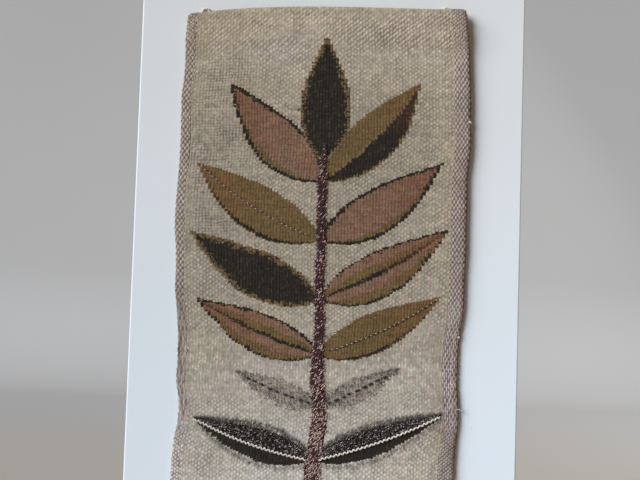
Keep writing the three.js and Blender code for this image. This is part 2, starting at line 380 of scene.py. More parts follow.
# How the selvages change by distance down: share of purple warp that shows, of beads drawn out into
# chains, and of beads as fine as the ground's
LEFT_SELVAGE = [
    {"down": 0, "warp": 0.45, "chained": 0.0, "fine": 1.0},
    {"down": 18, "warp": 0.60, "chained": 0.0, "fine": 0.8},
    {"down": 42, "warp": 0.95, "chained": 0.0, "fine": 0.0},
    {"down": 130, "warp": 0.90, "chained": 0.0, "fine": 0.0},
    {"down": 286, "warp": 0.80, "chained": 0.0, "fine": 0.0},
    {"down": 306, "warp": 0.82, "chained": 0.65, "fine": 0.10},
    {"down": 420, "warp": 0.76, "chained": 0.65, "fine": 0.15},
    {"down": 442, "warp": 0.35, "chained": 0.0, "fine": 1.0},
    {"down": 780, "warp": 0.35, "chained": 0.0, "fine": 1.0},
    {"down": 846, "warp": 0.20, "chained": 0.0, "fine": 1.0},
]
RIGHT_SELVAGE = [
    {"down": 0, "warp": 0.60, "chained": 0.0, "fine": 1.0},
    {"down": 30, "warp": 0.85, "chained": 0.0, "fine": 0.9},
    {"down": 56, "warp": 0.95, "chained": 0.0, "fine": 0.0},
    {"down": 130, "warp": 0.90, "chained": 0.0, "fine": 0.0},
    {"down": 296, "warp": 1.00, "chained": 0.0, "fine": 0.0},
    {"down": 322, "warp": 1.00, "chained": 1.0, "fine": 0.0},
    {"down": 424, "warp": 0.90, "chained": 1.0, "fine": 0.0},
    {"down": 446, "warp": 0.85, "chained": 0.0, "fine": 1.0},
    {"down": 780, "warp": 0.85, "chained": 0.0, "fine": 1.0},
    {"down": 846, "warp": 0.60, "chained": 0.0, "fine": 1.0},
]

# Share of a selvage's width over which it passes into the ground
SELVAGE_FADE = 0.40

# Yarn loops behind the top edge
LOOPS = [
    {"name": "loop_left", "x": -133.4, "width": 9.4, "above": 6.4},
    {"name": "loop_right", "x": 117.0, "width": 7.2, "above": 5.0},
]
LOOP_YARN_RADIUS = 1.25
LOOP_TAIL = 9.0
LOOP_GAP = 0.3
LOOP_TWIST = 3.6

# Knots and loose ends at the side edges: across, down, how far each sticks out and droops
EDGE_KNOTS = [
    {"across": 1.0, "down": 116.0, "out": 2.6, "droop": 1.2, "radius": 1.0},
    {"across": 1.0, "down": 337.0, "out": 2.2, "droop": 0.8, "radius": 0.9},
    {"across": 1.0, "down": 410.0, "out": 7.5, "droop": 3.2, "radius": 0.5},
    {"across": 0.0, "down": 348.0, "out": 3.4, "droop": -1.0, "radius": 0.6},
    {"across": 0.0, "down": 612.0, "out": 2.4, "droop": 1.0, "radius": 0.8},
]

# Loose fibres at the side edges: how many, how far they reach, their radius, and whether they are
# pale (0) or brown (1). The many dark brown ones on the right edge partly stand for its painted shade
EDGE_FUZZ = [
    {"side": -1, "count": 450, "least": 0.4, "most": 1.6, "radius": 0.08, "slot": 0},
    {"side": 1, "count": 450, "least": 0.6, "most": 2.2, "radius": 0.08, "slot": 0},
    {"side": 1, "count": 2600, "least": 0.6, "most": 2.6, "radius": 0.11, "slot": 1},
]
TOP_FUZZ = 300

# Camera as it stood in front of the board
CAMERA_PLACE = (-7.0, -740.3, 157.9)
CAMERA_PITCH = math.radians(2.28)
CAMERA_ROLL = math.radians(1.83)
FOCAL_PIXELS = 700.0
IMAGE_WIDTH = 640.0
SENSOR_MM = 36.0

# Paint: painted light on the board, its factors at the top where the light is warmer, and how much paler it
# is a metre to the right
PAINT_TOP_LIGHT = (0.96, 0.894, 0.825)
PAINT_RIGHT_LIGHT = 0.28

PAINT_SPECK = (0.22, 0.2, 0.17, 1.0)

# Yarns of fixed colours, from dark to pale
# The stem's pale yarn is partly painted highlight
STEM_PALE_YARN_AND_HIGHLIGHT = [(0.30, 0.155, 0.13), (0.74, 0.56, 0.49)]
CREAM_CORD = [(0.56, 0.51, 0.42), (0.84, 0.79, 0.68)]
DARK_THREAD = [(0.02, 0.017, 0.015), (0.07, 0.055, 0.045)]
GREY_PILE = [(0.12, 0.09, 0.08), (0.215, 0.175, 0.155), (0.39, 0.345, 0.31)]
# The pale knot colour is painted glints of light on the knots
KNOT_PAINTED_GLINT = [(0.66, 0.56, 0.52)]
UNDYED_YARN = [(0.44, 0.38, 0.29), (0.60, 0.53, 0.43)]
# Dark brown of the right edge's fibres, partly painted shade
EDGE_BROWN_AND_SHADE = [(0.14, 0.08, 0.055), (0.30, 0.20, 0.15)]
LOOP_YARN = [(0.60, 0.56, 0.44), (0.78, 0.74, 0.61)]

# Stage paper, and the lights: daylight from the upper left, a lamp behind the board, and the room
PALE_FLOOR = (0.54, 0.45, 0.36, 1.0)
PALE_BACKDROP = (0.50, 0.482, 0.462, 1.0)
DAY_PLACE = (-1.55, -1.0, 0.72)
DAY_COLOUR = (0.85, 0.92, 1.0)
REAR_PLACE = (2.3, 1.9, 1.5)
REAR_COLOUR = (1.0, 0.97, 0.93)
REAR_SIZE = 1.4
REAR_WATTS = 25.0
ROOM_COLOUR = (1.0, 0.55, 0.30, 1.0)


# Shape of the cloth


def along(table, column, down):
    """Smooth curve through a table's rows, for many distances down at once."""
    downs = np.array([row["down"] for row in table], float)
    values = np.array([row[column] for row in table], float)
    slopes = np.gradient(values, downs)
    slopes[1:-1] = (values[2:] - values[:-2]) / (downs[2:] - downs[:-2])
    down = np.clip(np.asarray(down, float), downs[0], downs[-1])
    i = np.clip(np.searchsorted(downs, down, side="right") - 1, 0, len(downs) - 2)
    span = downs[i + 1] - downs[i]
    t = (down - downs[i]) / span
    ease = t * t * (3 - 2 * t)
    value = values[i] * (1 - ease) + values[i + 1] * ease
    return value + t * (1 - t) ** 2 * span * slopes[i] - t * t * (1 - t) * span * slopes[i + 1]


def smoothstep(x, low, high):
    """Eased share of the way from low to high, held at 0 and 1 beyond them."""
    t = np.clip((np.asarray(x, float) - low) / (high - low), 0, 1)
    return t * t * (3 - 2 * t)


def blend(share, a, b):
    """Mix of two numbers or arrays."""
    return a + (b - a) * share


def ripple(x, y, seed, waves=5):
    """Smooth seeded unevenness between about -1 and 1."""
    draw = random.Random(seed)
    total = np.zeros(np.broadcast(x, y).shape)
    for _ in range(waves):
        turn = draw.uniform(0, math.tau)
        pace = draw.uniform(0.6, 1.7)
        total = total + np.sin(pace * (x * math.cos(turn) + y * math.sin(turn)) + draw.uniform(0, math.tau))
    return total / waves * 1.6


def weft_rise(across, down):
    """How far the weft through a point lies above the same weft at the left edge."""
    curved = TOP_RISE * (1 - (1 - across) ** TOP_RISE_POWER)
    fade = np.exp(-down / TOP_RISE_FADE)
    return curved * fade + WEFT_RISE * across * (1 - fade)


def gap_behind(across, down):
    """How far the cloth's back lies off the board."""
    gap = GAP_LEAST + GAP_TOP * np.exp(-((down / GAP_TOP_FADE) ** 2))
    gap = gap + smoothstep(across, CURL_START, 1) * along(RIGHT_CURL, "lift", down)
    for swell in SWELLS:
        a = (across - swell["across"]) / swell["wide"]
        d = (down - swell["down"]) / swell["long"]
        gap = gap + swell["lift"] * np.exp(-(a * a + d * d) * 2)
    return gap


def crease_depth(across, down):
    """Depth of the soft troughs at places on the cloth's front."""
    x = (across * RIBS - RIBS / 2) * RIB
    depth = np.zeros(np.broadcast(across, down).shape)
    for crease in CREASES:
        run_x, run_down = crease["x1"] - crease["x0"], crease["down1"] - crease["down0"]
        t = ((x - crease["x0"]) * run_x + (down - crease["down0"]) * run_down) / (run_x ** 2 + run_down ** 2)
        bowed = CREASE_BOW * np.sin(np.clip(t, 0, 1) * math.pi)
        off = (down - crease["down0"] - t * run_down - bowed) / crease["wide"]
        ends = smoothstep(t, 0.0, 0.2) * (1 - smoothstep(t, 0.75, 1.0))
        depth = depth + crease["depth"] * ends * np.exp(-off * off)
    return depth


def cloth_points(across, down, above, back=False):
    """Points in metres on the cloth's front, raised by so many millimetres, or on its back."""
    across, down, above = np.broadcast_arrays(*(np.asarray(v, float) for v in (across, down, above)))
    left = along(SIDE_EDGES, "left", down)
    right = along(SIDE_EDGES, "right", down)
    corner_left = np.exp(-(((right - left) * across / CORNER_REACH) ** 2) - (down / CORNER_REACH) ** 2)
    corner_right = np.exp(-(((right - left) * (1 - across) / CORNER_REACH) ** 2) - (down / CORNER_REACH) ** 2)
    x = left + (right - left) * across + CORNER_ROUND * (corner_left - corner_right)
    z = TOP_LEFT_Z - down + weft_rise(across, down) - CORNER_ROUND * (corner_left + corner_right)
    y = -BOARD_FRONT - gap_behind(across, down)
    if not back:
        y = y - CLOTH_THICK - HEM_EXTRA * (1 - smoothstep(down, HEM_DEPTH - HEM_END / 2, HEM_DEPTH + HEM_END))
        y = y + crease_depth(across, down)
    return np.stack([x, y - above, z], axis=-1) * MM


def design_points(x, down, above):
    """Points over places of the woven design, whose x is measured from the cloth's middle warp."""
    return cloth_points((np.asarray(x, float) / RIB + RIBS / 2) / RIBS, down, above)


# The woven design


def leaf_half(leaf, share, off):
    """Half the width of a leaf at a share of its length, on the side where off lies."""
    body = np.clip(share, 0, 1)
    lower = LEAF_STYLES[leaf["style"]]["lower"]
    half = leaf["half"] * np.maximum(np.sin(math.pi * body ** LEAF_SWELL), 0) ** LEAF_BLUNT
    return half * np.where(np.asarray(off) > 0, 1.0, lower)


def leaf_depth(leaf, x, down):
    """How far inside a leaf's edge places of the design lie."""
    lean = math.radians(leaf["lean"])
    out = x * leaf["side"]
    up = leaf["root"] - down
    share = (out * math.sin(lean) + up * math.cos(lean)) / leaf["length"]
    off = up * math.sin(lean) - out * math.cos(lean)
    off = off + 2 * leaf["bend"] * leaf["length"] * share * (1 - share)
    past_ends = leaf["length"] * (np.maximum(-share, 0) + np.maximum(share - 1, 0))
    return leaf_half(leaf, share, off) - np.abs(off) - past_ends


def leaf_point(leaf, share, off=0.0):
    """Place in the design of a point along a leaf, so far above its midrib."""
    lean = math.radians(leaf["lean"])
    off = off - leaf["bend"] * leaf["length"] * share * (1 - share) * 2.0
    run = share * leaf["length"]
    x = leaf["side"] * (run * math.sin(lean) - off * math.cos(lean))
    return x, leaf["root"] - run * math.cos(lean) - off * math.sin(lean)


def stem_depth(x, down):
    """How far inside the stem's edge places of the design lie."""
    sway = STEM_SWAY * ripple(down / STEM_SWAY_PITCH, 0 * x, 13)
    inside = (down > STEM[0]["down"]) & (down < STEM[-1]["down"])
    return np.where(inside, along(STEM, "half", down) - np.abs(x - sway), STEM_OUTSIDE)


def chart_design(x, down):
    """Depth inside the nearest leaf or stem, and the material slot, at places of the design."""
    depths = np.stack([leaf_depth(leaf, x, down) for leaf in LEAVES])
    nearest = depths.argmax(axis=0)
    depth = depths.max(axis=0)
    slot = np.where(depth > -LEAF_MARGIN, nearest + 1, GROUND_SLOT)
    stem = stem_depth(x, down)
    slot = np.where(stem > 0, STEM_SLOT, slot)
    return np.maximum(depth, stem), slot


def within(value, zone, low, high):
    """Share of a zone at a value: 1 inside, and fading to 0 at its low and high edge."""
    enter = smoothstep(value, zone[low], zone[low] + zone["soft"])
    return enter * (1 - smoothstep(value, zone[high] - zone["soft"], zone[high]))


def ground_zones(x, down):
    """Strength of the ground's beads, and shares of square and floating weave."""
    contrast = along(GROUND_CONTRAST, "share", down)
    hem = smoothstep(x, HEM_CONTRAST["left"], HEM_CONTRAST["right"])
    hem = hem * (1 - smoothstep(down, HEM_DEPTH, HEM_CONTRAST["end"]))
    contrast = contrast * blend(hem, 1, HEM_CONTRAST["share"])
    sway = SQUARE_ZONE["sway"] * ripple(x / 22, down / 22, 11)
    square = within(x + sway, SQUARE_ZONE, "left", "right")
    square = square * within(down + sway, SQUARE_ZONE, "top", "bottom")
    sway = FLOAT_ZONE["sway"] * ripple(x / 30, down / 9, 12)
    floats = within(down + sway, FLOAT_ZONE, "top", "bottom")
    return blend(square, contrast, SQUARE_CONTRAST), square, floats


def ground_dye_and_light(x, down):
    """Colour factors of the ground yarn at places of the design, with painted light and shade in places."""
    dye_and_light = np.stack([along(GROUND_TONES_AND_LIGHT, tone, down) for tone in ("red", "green", "blue")], axis=-1)
    for spot in DYE_SPOTS:
        a = (x - spot["x"]) / spot["wide"] + SPOT_RAGGED * ripple(x / 9, down / 9, 33)
        b = (down - spot["down"]) / spot["long"] + SPOT_RAGGED * ripple(x / 8, down / 10, 34)
        reach = np.exp(-(a * a + b * b))[..., None]
        dye_and_light = dye_and_light * (1 + reach * (np.array([spot["red"], spot["green"], spot["blue"]]) - 1))
    uneven = DYE_PATCHES * ripple(x / 13, down / 17, 31) + DYE_BANDS * ripple(x / 40, down / 3, 32)
    return dye_and_light * (1 + uneven)[..., None]


# Mesh helpers


def across_route(route, facing):
    """Two unit directions across a route at each of its points, the first one square to facing as well."""
    ahead = np.gradient(route, axis=0)
    ahead /= np.maximum(np.linalg.norm(ahead, axis=1, keepdims=True), 1e-12)
    out = np.cross(ahead, facing)
    out /= np.maximum(np.linalg.norm(out, axis=1, keepdims=True), 1e-12)
    return out, np.cross(ahead, out)


class Strands:
    """Collects many short yarns, hairs and cords into one mesh."""

    def __init__(self):
        self.points = []
        self.faces = []
        self.slots = []
        self.shades = []
        self.count = 0

    def add(self, route, radii, sides, slot, shade=0.5):
        """One closed yarn along a route of points in metres, with a radius at each."""
        route = np.asarray(route, float)
        out, other = across_route(route, (0.12, -1.0, 0.07))
        turn = np.arange(sides) * math.tau / sides
        radii = np.broadcast_to(np.asarray(radii, float), (len(route),))
        ring = np.cos(turn)[None, :, None] * out[:, None, :] + np.sin(turn)[None, :, None] * other[:, None, :]
        points = route[:, None, :] + ring * radii[:, None, None]
        start, steps = self.count, len(route)
        self.points.append(points.reshape(-1, 3))
        self.count += steps * sides
        for step in range(steps - 1):
            for side in range(sides):
                a = start + step * sides + side
                b = start + step * sides + (side + 1) % sides
                self.faces.append((a, b, b + sides, a + sides))
        self.faces.append(tuple(range(start, start + sides))[::-1])
        self.faces.append(tuple(range(start + (steps - 1) * sides, start + steps * sides)))
        self.slots.extend([slot] * ((steps - 1) * sides + 2))
        self.shades.append(np.full(steps * sides, shade))

    def build(self, name, materials):
        mesh = bpy.data.meshes.new(name)
        mesh.from_pydata(np.concatenate(self.points).tolist(), [], self.faces)
        mesh.polygons.foreach_set("material_index", self.slots)
        mesh.polygons.foreach_set("use_smooth", [True] * len(self.faces))
        shade = mesh.attributes.new("shade", "FLOAT", "POINT")
        shade.data.foreach_set("value", np.concatenate(self.shades))
        return link_piece(name, mesh, materials)


def link_piece(name, mesh, materials):
    """Puts a mesh into the scene as a piece that rides with the board."""
    mesh.validate()
    for material in materials:
        mesh.materials.append(material)
    piece = bpy.data.objects.new(name, mesh)
    bpy.context.scene.collection.objects.link(piece)
    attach(piece, "root")
    return piece


def set_weave_uv(mesh, coordinates):
    """Stores the weave's own coordinates, ribs across and beads down, at the mesh's corners."""
    corners = np.empty(len(mesh.loops), np.int64)
    mesh.loops.foreach_get("vertex_index", corners)
    layer = mesh.uv_layers.new(name="weave")
    layer.data.foreach_set("uv", np.asarray(coordinates, np.float32)[corners].ravel())


def set_vectors(mesh, name, values):
    """Stores three numbers at each point of a mesh for its materials."""
    layer = mesh.attributes.new(name, "FLOAT_VECTOR", "POINT")
    layer.data.foreach_set("vector", np.asarray(values, np.float32).ravel())


# Materials


class Shader:
    """Short forms for the nodes of one material."""

    def __init__(self, name):
        self.material = bpy.data.materials.new(name)
        self.material.use_nodes = True
        self.tree = self.material.node_tree
        self.tree.nodes.clear()

    def node(self, kind, sockets=None, **settings):
        node = self.tree.nodes.new(kind)
        for key, value in settings.items():
            setattr(node, key, value)
        for key, value in (sockets or {}).items():
            self.feed(node.inputs[key], value)
        return node

    def feed(self, socket, value):
        if isinstance(value, bpy.types.NodeSocket):
            self.tree.links.new(value, socket)
        else:
            socket.default_value = value

    def math(self, operation, a, b=0.0, c=0.0, clamp=False):
        node = self.node("ShaderNodeMath", {0: a, 1: b, 2: c}, operation=operation, use_clamp=clamp)
        return node.outputs[0]

    def times_add(self, a, b, c, clamp=False):
        """The first number times the second, plus the third."""
        return self.math("MULTIPLY_ADD", a, b, c, clamp)

    def floor(self, a):
        return self.math("FLOOR", a)

    def add(self, a, b):
        return self.math("ADD", a, b)

    def subtract(self, a, b):
        return self.math("SUBTRACT", a, b)

    def times(self, a, b):
        return self.math("MULTIPLY", a, b)

    def spread(self, value, low, high):
        """Maps 0 to 1 onto low to high."""
        return self.times_add(value, high - low, low)

    def blend(self, share, a, b):
        """Mix of two numbers."""
        return self.times_add(self.subtract(b, a), share, a)

    def remap(self, value, low, high, start=0.0, end=1.0):
        """Maps low to high onto start to end, and holds those beyond."""
        return self.node("ShaderNodeMapRange", {"Value": value, 1: low, 2: high, 3: start, 4: end}).outputs[0]

    def mix(self, factor, a, b, mode="MIX"):
        """Mix of two colours."""
        node = self.node("ShaderNodeMix", data_type="RGBA", blend_type=mode)
        self.feed(node.inputs["Factor"], factor)
        self.feed(node.inputs[6], a)
        self.feed(node.inputs[7], b)
        return node.outputs[2]

    def tint(self, colour, other):
        """Multiplies two colours."""
        return self.mix(1.0, colour, other, "MULTIPLY")

    def scale(self, colour, value):
        """Makes a colour lighter or darker by a factor."""
        grey = self.node("ShaderNodeCombineColor", {0: value, 1: value, 2: value})
        return self.tint(colour, grey.outputs[0])

    def ramp(self, value, stops, steps=False):
        node = self.node("ShaderNodeValToRGB", {0: value})
        node.color_ramp.interpolation = "CONSTANT" if steps else "LINEAR"
        points = node.color_ramp.elements
        points[0].position, points[0].color = stops[0]
        if len(stops) == 1:
            points.remove(points[1])
            return node.outputs[0]
        points[1].position, points[1].color = stops[-1]
        for position, colour in stops[1:-1]:
            points.new(position).color = colour
        return node.outputs[0]

    def noise(self, vector, scale, detail=2.0, roughness=0.5, output="Fac"):
        sockets = {"Vector": vector, "Scale": scale, "Detail": detail, "Roughness": roughness}
        return self.node("ShaderNodeTexNoise", sockets).outputs[output]

    def chance(self, x, y):
        """Random number of a cell."""
        cell = self.node("ShaderNodeCombineXYZ", {0: x, 1: y}).outputs[0]
        return self.node("ShaderNodeTexWhiteNoise", {0: cell}, noise_dimensions="3D").outputs["Value"]

    def stretched(self, vector, scales):
        return self.node("ShaderNodeMapping", {"Vector": vector, "Scale": scales}).outputs[0]

    def attribute(self, name, output="Fac"):
        return self.node("ShaderNodeAttribute", attribute_name=name).outputs[output]

    def parts(self, vector):
        return self.node("ShaderNodeSeparateXYZ", {0: vector}).outputs

    def object_place(self):
        return self.node("ShaderNodeTexCoord").outputs["Object"]

    def weave_place(self, wander):
        """Rib and bead numbers, with the small wanderings of a hand weave."""
        place = self.node("ShaderNodeUVMap", uv_map="weave").outputs[0]
        drift = self.noise(place, 0.55, 1.0, output="Color")
        drift = self.node("ShaderNodeVectorMath", {0: drift, 1: (0.5, 0.5, 0.5)}, operation="SUBTRACT")
        drift = self.node("ShaderNodeVectorMath", {0: drift.outputs[0], 1: (wander, wander, 0.0)},
                          operation="MULTIPLY")
        place = self.node("ShaderNodeVectorMath", {0: place, 1: drift.outputs[0]}, operation="ADD")
        u, v, _ = self.parts(place.outputs[0])
        return u, v

    def finish(self, colour, height, depth, roughness=0.9, sheen=0.2, gloss=0.25):
        """Ends the material with a shader of this colour and relief in metres."""
        bump = self.node("ShaderNodeBump", {"Height": height, "Distance": depth, "Strength": 1.0})
        sockets = {
            "Base Color": colour,
            "Roughness": roughness,
            "Sheen Weight": sheen,
            "Sheen Roughness": 0.5,
            "Specular IOR Level": gloss,
            "Normal": bump.outputs[0],
        }
        surface = self.node("ShaderNodeBsdfPrincipled", sockets)
        self.node("ShaderNodeOutputMaterial", {"Surface": surface.outputs[0]})
        return self.material


def rgba(colour, factor=1.0):
    return (*(min(1.0, channel * factor) for channel in colour), 1.0)


# Bead shapes: half width and half height in parts of a cell, how far a bead slants up to the right,
# how far every other column is staggered, how many beads go to a cell across and down, and how
# unevenly they lie. The beads slant more in the turned top edge, down to its last row of cells.
BEADED = {"wide": 0.57, "tall": 0.39, "slant": 0.05, "stagger": 0.5, "across": 1.0, "down": 1.0,
          "uneven": 0.15}
HEM_SLANT = 0.40
HEM_ROW = HEM_DEPTH / (2 * ROW)
SQUARE = {"wide": 0.52, "tall": 0.50, "slant": 0.0, "stagger": 0.0, "across": 1.0, "down": 1.45,
          "uneven": 0.18}
DASHED = {"wide": 0.27, "tall": 0.44, "slant": 0.0, "stagger": 0.37, "across": 1.0, "down": 0.9,
          "uneven": 0.10}
OVAL = {"wide": 0.76, "tall": 0.345, "slant": 0.0, "stagger": 0.5, "across": 1.0, "down": 1.0,
        "uneven": 0.08}
CHAINED = {"wide": 0.64, "tall": 0.47, "slant": 0.0, "stagger": 0.5, "across": 1.0, "down": 1.0,
           "uneven": 0.14}
EDGE_BEADED = {"wide": 0.60, "tall": 0.41, "slant": 0.08, "stagger": 0.5, "across": 0.85, "down": 1.75,
               "uneven": 0.14}

# Red, green and blue factors of the painted highlight on the crest of a bead of ground yarn
CREST_HIGHLIGHT_TINT = (1.34, 1.38, 1.46)

# Pale dashes of the floating weave: chance that a cell has none, height, and how pale they are
DASHES = {"none": 0.66, "high": 0.42, "share": 0.6, "factor": 1.5}

# How far ribs and beads wander in the cloth and its edges, in cells, and how uneven their yarns are
CLOTH_WANDER = 0.48
EDGE_WANDER = 0.30
GROUND_UNEVEN = 0.15
LEAF_UNEVEN = 0.05
BACK_UNEVEN = 0.12
SELVAGE_UNEVEN = 0.10

# Heathered wefts of the leaves: share of a noise, and colour factors there
HEATHER = [
    (0.28, (0.66, 0.62, 0.62, 1.0)),
    (0.5, (1.0, 1.0, 1.0, 1.0)),
    (0.74, (1.34, 1.18, 1.06, 1.0)),
]

# Layers of unevenness in spun yarn: streaks along the weft, mottled patches, flecks and loose fibres
YARN_LAYERS = [
    {"scale": (16.0, 16.0, 420.0), "detail": 2.0, "rough": 0.5, "strength": 0.14},
    {"scale": (60.0, 60.0, 60.0), "detail": 3.0, "rough": 0.6, "strength": 0.14},
    {"scale": (500.0, 500.0, 400.0), "detail": 1.0, "rough": 0.5, "strength": 0.26},
    {"scale": (900.0, 900.0, 2600.0), "detail": 2.0, "rough": 0.6, "strength": 0.14},
]


def bead_set(shader, u, v, bead, shift):
    """Domes and random numbers of the beads in every other column, or in all where none is staggered."""
    apart = 2.0 if bead["stagger"] else 1.0
    place = shader.times_add(u, bead["across"] / apart, 0.5 - (0.5 + shift) / apart)
    column = shader.floor(place)
    fu = shader.times_add(shader.subtract(place, column), apart, -0.5 * apart)
    down = shader.times_add(v, bead["down"], bead["stagger"] * shift)
    row = shader.floor(down)
    fv = shader.subtract(shader.subtract(down, row), 0.5)
    fv = shader.times_add(fu, bead["slant"], fv)
    chance = shader.chance(shader.times_add(column, apart, float(shift)), row)
    other = shader.math("FRACT", shader.times(chance, 13.0))
    uneven = bead["uneven"]
    a = shader.math("DIVIDE", shader.add(fu, shader.spread(chance, -uneven, uneven)), bead["wide"])
    b = shader.math("DIVIDE", shader.add(fv, shader.spread(other, -uneven * 0.7, uneven * 0.7)), bead["tall"])
    reach = shader.add(shader.times(a, a), shader.times(b, b))
    reach = shader.times(reach, shader.spread(other, 1.0 - uneven, 1.0 + 2.0 * uneven))
    return shader.math("SQRT", shader.math("SUBTRACT", 1.0, reach, clamp=True)), chance


def bead_dome(shader, u, v, bead):
    """Dome of each bead of weft, 0 to 1, and a random number for each. Staggered beads may overlap."""
    dome, chance = bead_set(shader, u, v, bead, 0)
    if not bead["stagger"]:
        return dome, chance
    other, other_chance = bead_set(shader, u, v, bead, 1)
    higher = shader.math("GREATER_THAN", other, dome)
    return shader.math("MAXIMUM", dome, other), shader.blend(higher, chance, other_chance)


def rib_round(shader, u):
    """How deep in a groove between two ribs a place lies, squared, and the round of its rib."""
    groove = shader.times_add(shader.math("PINGPONG", u, 0.5), -2.0, 1.0)
    arch = shader.times(groove, groove)
    return arch, shader.math("SQRT", shader.times_add(arch, -0.94, 1.0, clamp=True))


def ground_yarn(shader, u, v, colours):
    """Colour, relief and chance of the ground weave, which runs from beads to squares and floats."""
    contrast, square_share, float_share = shader.parts(shader.attribute("zones", "Vector"))

    # Domes of the three weaves
    turned = shader.remap(v, HEM_ROW, HEM_ROW + 3.0, HEM_SLANT, BEADED["slant"])
    dome, chance = bead_dome(shader, u, v, {**BEADED, "slant": turned})
    square, _ = bead_dome(shader, u, v, SQUARE)
    dashes, dash_chance = bead_dome(shader, u, v, DASHED)
    dashes = shader.times(dashes, shader.math("GREATER_THAN", dash_chance, DASHES["none"]))
    _, rib = rib_round(shader, u)
    floats = shader.times_add(dashes, DASHES["high"], shader.spread(rib, 0.20, 0.55))
    dome = shader.blend(square_share, dome, shader.spread(square, 0.0, 0.78))
    dome = shader.blend(float_share, dome, floats)

    # Colour from the painted shade of the gap to the painted highlight of the crest, with painted shade round
    # the squares, fainter where the weave shows less
    patch = shader.noise(shader.object_place(), 46.0, 2.0, 0.6)
    contrast = shader.times(contrast, shader.times_add(patch, 2.4, -0.45, clamp=True))
    body, gap = rgba(colours.ground), rgba(colours.ground_gap)
    crest_highlight = rgba(c * factor for c, factor in zip(colours.ground, CREST_HIGHLIGHT_TINT))
    even = tuple(blend(0.84, low, high) for low, high in zip(gap, body))
    stops = [(0.0, gap), (0.40, rgba(colours.ground, 0.90)), (0.85, body), (1.0, crest_highlight)]
    open_gap = shader.times_add(shader.math("MULTIPLY", dome, 3.0, clamp=True), 0.38, 0.62)
    colour = shader.ramp(dome, stops)
    colour = shader.mix(shader.times(square_share, contrast), colour, shader.scale(colour, open_gap))
    colour = shader.mix(contrast, even, colour)
    pale = shader.times(shader.times(dashes, float_share), DASHES["share"])
    colour = shader.mix(pale, colour, rgba(colours.ground, DASHES["factor"]))

    # Painted shade in the grooves between the ribs, and the grain of the yarn
    grain = shader.noise(shader.stretched(shader.object_place(), (400.0, 400.0, 350.0)), 1.0, 0.0)
    light = shader.times(shader.spread(rib, 0.86, 1.05), shader.spread(grain, 0.78, 1.22))
    colour = shader.scale(colour, light)
    relief = shader.times(shader.times(dome, dome), contrast)
    # These dye factors also carry painted light and shade
    return shader.tint(colour, shader.attribute("dye_and_light", "Vector")), relief, chance


def spun(shader, colour, chance, uneven):
    """Colour of yarn that is unevenly dyed and spun, and the relief of its loose fibres."""
    place = shader.object_place()
    light = shader.times_add(shader.spread(chance, -1.0, 1.0), uneven, 1.0)
    for layer in YARN_LAYERS:
        fibre = shader.noise(shader.stretched(place, layer["scale"]), 1.0, layer["detail"], layer["rough"])
        light = shader.times(light, shader.spread(fibre, 1.0 - layer["strength"], 1.0 + layer["strength"]))
    tint = shader.noise(place, 300.0, 2.0, 0.6, output="Color")
    tint = shader.node("ShaderNodeVectorMath", {0: tint, 1: (0.34,) * 3, 2: (0.83,) * 3},
                       operation="MULTIPLY_ADD")
    return shader.scale(shader.tint(colour, tint.outputs[0]), light), fibre


def ground_material(colours):
    shader = Shader("ground_weave")
    u, v = shader.weave_place(CLOTH_WANDER)
    colour, relief, chance = ground_yarn(shader, u, v, colours)
    colour, fibre = spun(shader, colour, chance, GROUND_UNEVEN)
    return shader.finish(colour, shader.times_add(fibre, 0.3, relief), 0.32 * MM)


